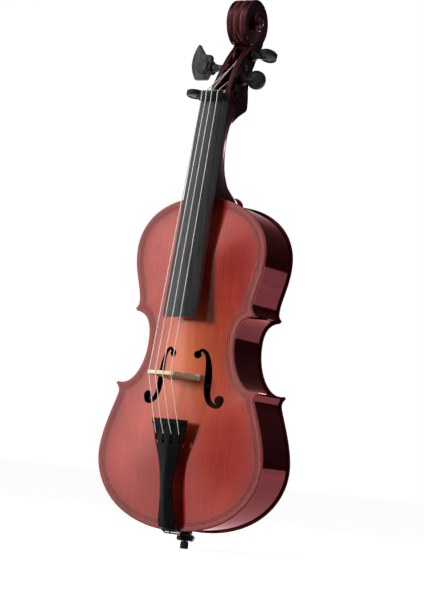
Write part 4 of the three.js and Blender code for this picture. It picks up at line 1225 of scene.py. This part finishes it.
def endpin():
    bore = 5.6
    collar = turned("collar", [
        (bore, -20), (15, -20), (17.8, -19.4), (19, -18), (19, -10.4), (18.6, -9.5), (18, -9.2),
        (12.6, -9.2), (COLLAR_NECK, -8.6), (COLLAR_NECK, -4.4), (12.6, -3.8), (16, -3.8), (16, 4.6),
        (13, 4.6), (11.5, 40), (bore, 40)], 56, 2)
    carve(collar, [turned("bore", [(bore, -40), (bore, 60)], 48, 2),
                   turned("thread", [(3.4, 4), (3.4, 34)], 24, 1, (0, 0, SCREW_HEIGHT))])
    finish_piece(collar, "endpin_collar", ROOT, PEG_BLACK)
    rod = turned("rod", [(4.4, -30), (5, -29.4), (5, 439), (4, 440)], 40, 2)
    finish_piece(rod, "endpin_rod", "endpin", STEEL)
    tip = turned("tip", [(0.2, -38), (7.4, -38), (8.2, -37.7), (9.3, -36.2), (9.5, -35), (9.5, -29),
                         (9.1, -25), (8, -21), (5.4, -21), (5.4, -30.3), (0.2, -30.3)], 40, 2)
    finish_piece(tip, "endpin_tip", "endpin", RUBBER)
    screw = turned("screw", [(0.2, 6.2), (2.6, 6.2), (3, 6.8), (3, 20.5), (5.5, 21), (5.5, 24), (7.4, 24.6),
                             (8, 25.4), (8, 30.8), (7.4, 31.8), (6.2, 32.5), (0.2, 32.5)],
                   48, 1, (0, 0, SCREW_HEIGHT))
    grips = [turned("grip", [(1.5, 23), (1.5, 34)], 12, 1, (x, 0, SCREW_HEIGHT + z))
             for z, x in circle(0, 0, 8.9, 12)]
    carve(screw, grips)
    finish_piece(screw, "endpin_screw", "clamp_screw", STEEL)


# ---------- pieces inside the body keep their CAD shape ----------
def inner_pieces():
    for row in frame["record"]["subparts"]:
        if row["material_slot"] == "bare_spruce":
            mesh = frame["nodes"][row["node"]].data
            mesh.materials.clear()
            mesh.materials.append(SPRUCE)


# ---------- camera, floor and lights ----------
CAMERA = {"azimuth": 30.84, "elevation": -5.11, "roll": 6.04, "distance": 4496, "lens": 118}
CAMERA_SHIFT = (-3.2, -70.6)  # the camera beside the line to the body's middle, mm
CAMERA_TARGET = (0, 0, 600)


def camera():
    a, e, r = (math.radians(CAMERA[key]) for key in ("azimuth", "elevation", "roll"))
    back = Vector((math.sin(a) * math.cos(e), -math.cos(a) * math.cos(e), math.sin(e)))
    level = (-back).cross(Vector((0, 0, 1))).normalized()
    upright = level.cross(-back)
    right = math.cos(r) * level + math.sin(r) * upright
    up = -math.sin(r) * level + math.cos(r) * upright
    place = Vector(CAMERA_TARGET) + back * CAMERA["distance"]
    place += right * CAMERA_SHIFT[0] + up * CAMERA_SHIFT[1]
    data = bpy.data.cameras.new("camera")
    data.lens = CAMERA["lens"]
    data.sensor_width = 36
    obj = linked_object("camera", data)
    turn = Matrix((right, up, back)).transposed().to_4x4()
    obj.matrix_world = Matrix.Translation(Vector(to_world([place])[0])) @ turn
    bpy.context.scene.camera = obj


def softbox(name, place, target, size, power, in_gloss=True):
    data = bpy.data.lights.new(name, "AREA")
    data.shape = "RECTANGLE"
    data.size, data.size_y = size
    data.energy = power
    obj = linked_object(name, data)
    obj.location = place
    obj.rotation_euler = (Vector(target) - Vector(place)).to_track_quat("-Z", "Y").to_euler()
    obj.visible_glossy = in_gloss


def floor():
    """Plain pale paper, lifted a little so that it stays pale away from the lights.

    It is in two halves that look the same. Only the half behind the object shows in its gloss.
    """
    reach = 60
    paper = floor_paper()
    for name, near, far, in_gloss in (("floor_front", -reach, 0, False), ("floor_back", 0, reach, True)):
        mesh = bpy.data.meshes.new(name)
        corners = [(-reach, near, 0), (reach, near, 0), (reach, far, 0), (-reach, far, 0)]
        mesh.from_pydata(corners, [], [(0, 1, 2, 3)])
        mesh.materials.append(paper)
        obj = linked_object(name, mesh)
        obj.visible_diffuse = False  # the paper's own glow would wash the shadows out
        obj.visible_glossy = in_gloss


# Soft glows around the studio: (direction, how narrow, how bright)
GLOWS = [
    ((-0.85, -0.52, 0.12), 6.0, 0.85),
    ((-0.50, -0.65, 0.60), 11.0, 0.8),
    ((-0.50, -0.75, -0.40), 12.0, 0.25),
    ((0.35, -0.90, 0.20), 5.0, 0.12),
    ((0.70, 0.10, 0.70), 5.0, 0.7),
    ((-0.40, 0.90, 0.20), 10.0, 0.5),
]
STUDIO_BASE = 0.012
BACKDROP = 1.0  # the wall as the camera sees it


def studio_walls():
    """Pale wall behind, with soft glows that light the object and show in its gloss."""
    world = bpy.data.worlds.new("studio")
    world.use_nodes = True
    tree = world.node_tree
    background = tree.nodes["Background"]
    background.inputs["Color"].default_value = (1, 1, 1, 1)
    where = tree.nodes.new("ShaderNodeTexCoord").outputs["Generated"]

    def math_node(operation, a, b):
        made = tree.nodes.new("ShaderNodeMath")
        made.operation = operation
        for index, value in enumerate((a, b)):
            if isinstance(value, bpy.types.NodeSocket):
                tree.links.new(value, made.inputs[index])
            else:
                made.inputs[index].default_value = value
        return made.outputs[0]

    total = STUDIO_BASE
    for direction, narrow, strength in GLOWS:
        dot = tree.nodes.new("ShaderNodeVectorMath")
        dot.operation = "DOT_PRODUCT"
        tree.links.new(where, dot.inputs[0])
        dot.inputs[1].default_value = Vector(direction).normalized()
        lobe = math_node("POWER", math_node("MAXIMUM", dot.outputs["Value"], 0.0), narrow)
        total = math_node("ADD", math_node("MULTIPLY", lobe, strength), total)
    seen = tree.nodes.new("ShaderNodeLightPath").outputs["Is Camera Ray"]
    wall = tree.nodes.new("ShaderNodeMix")
    tree.links.new(seen, wall.inputs[0])
    tree.links.new(total, wall.inputs[2])
    wall.inputs[3].default_value = BACKDROP
    tree.links.new(wall.outputs[0], background.inputs["Strength"])
    bpy.context.scene.world = world


def studio():
    floor()
    studio_walls()
    bpy.context.scene.view_settings.view_transform = "Standard"
    middle = (0, 0, 0.65)
    softbox("key", (-1.1, -2.9, 0.85), middle, (0.4, 0.6), 70, in_gloss=False)
    softbox("rim", (-0.45, 3.3, 1.3), (0, 0, 1.1), (0.9, 1.2), 24)


camera()
studio()
inner_pieces()
top_plate()
back_plate()
ribs()
neck()
fingerboard()
nut()
bridge()
tailpiece()
saddle()
tail_cord()
strings()
for peg_name in PEGS:
    peg(peg_name)
endpin()
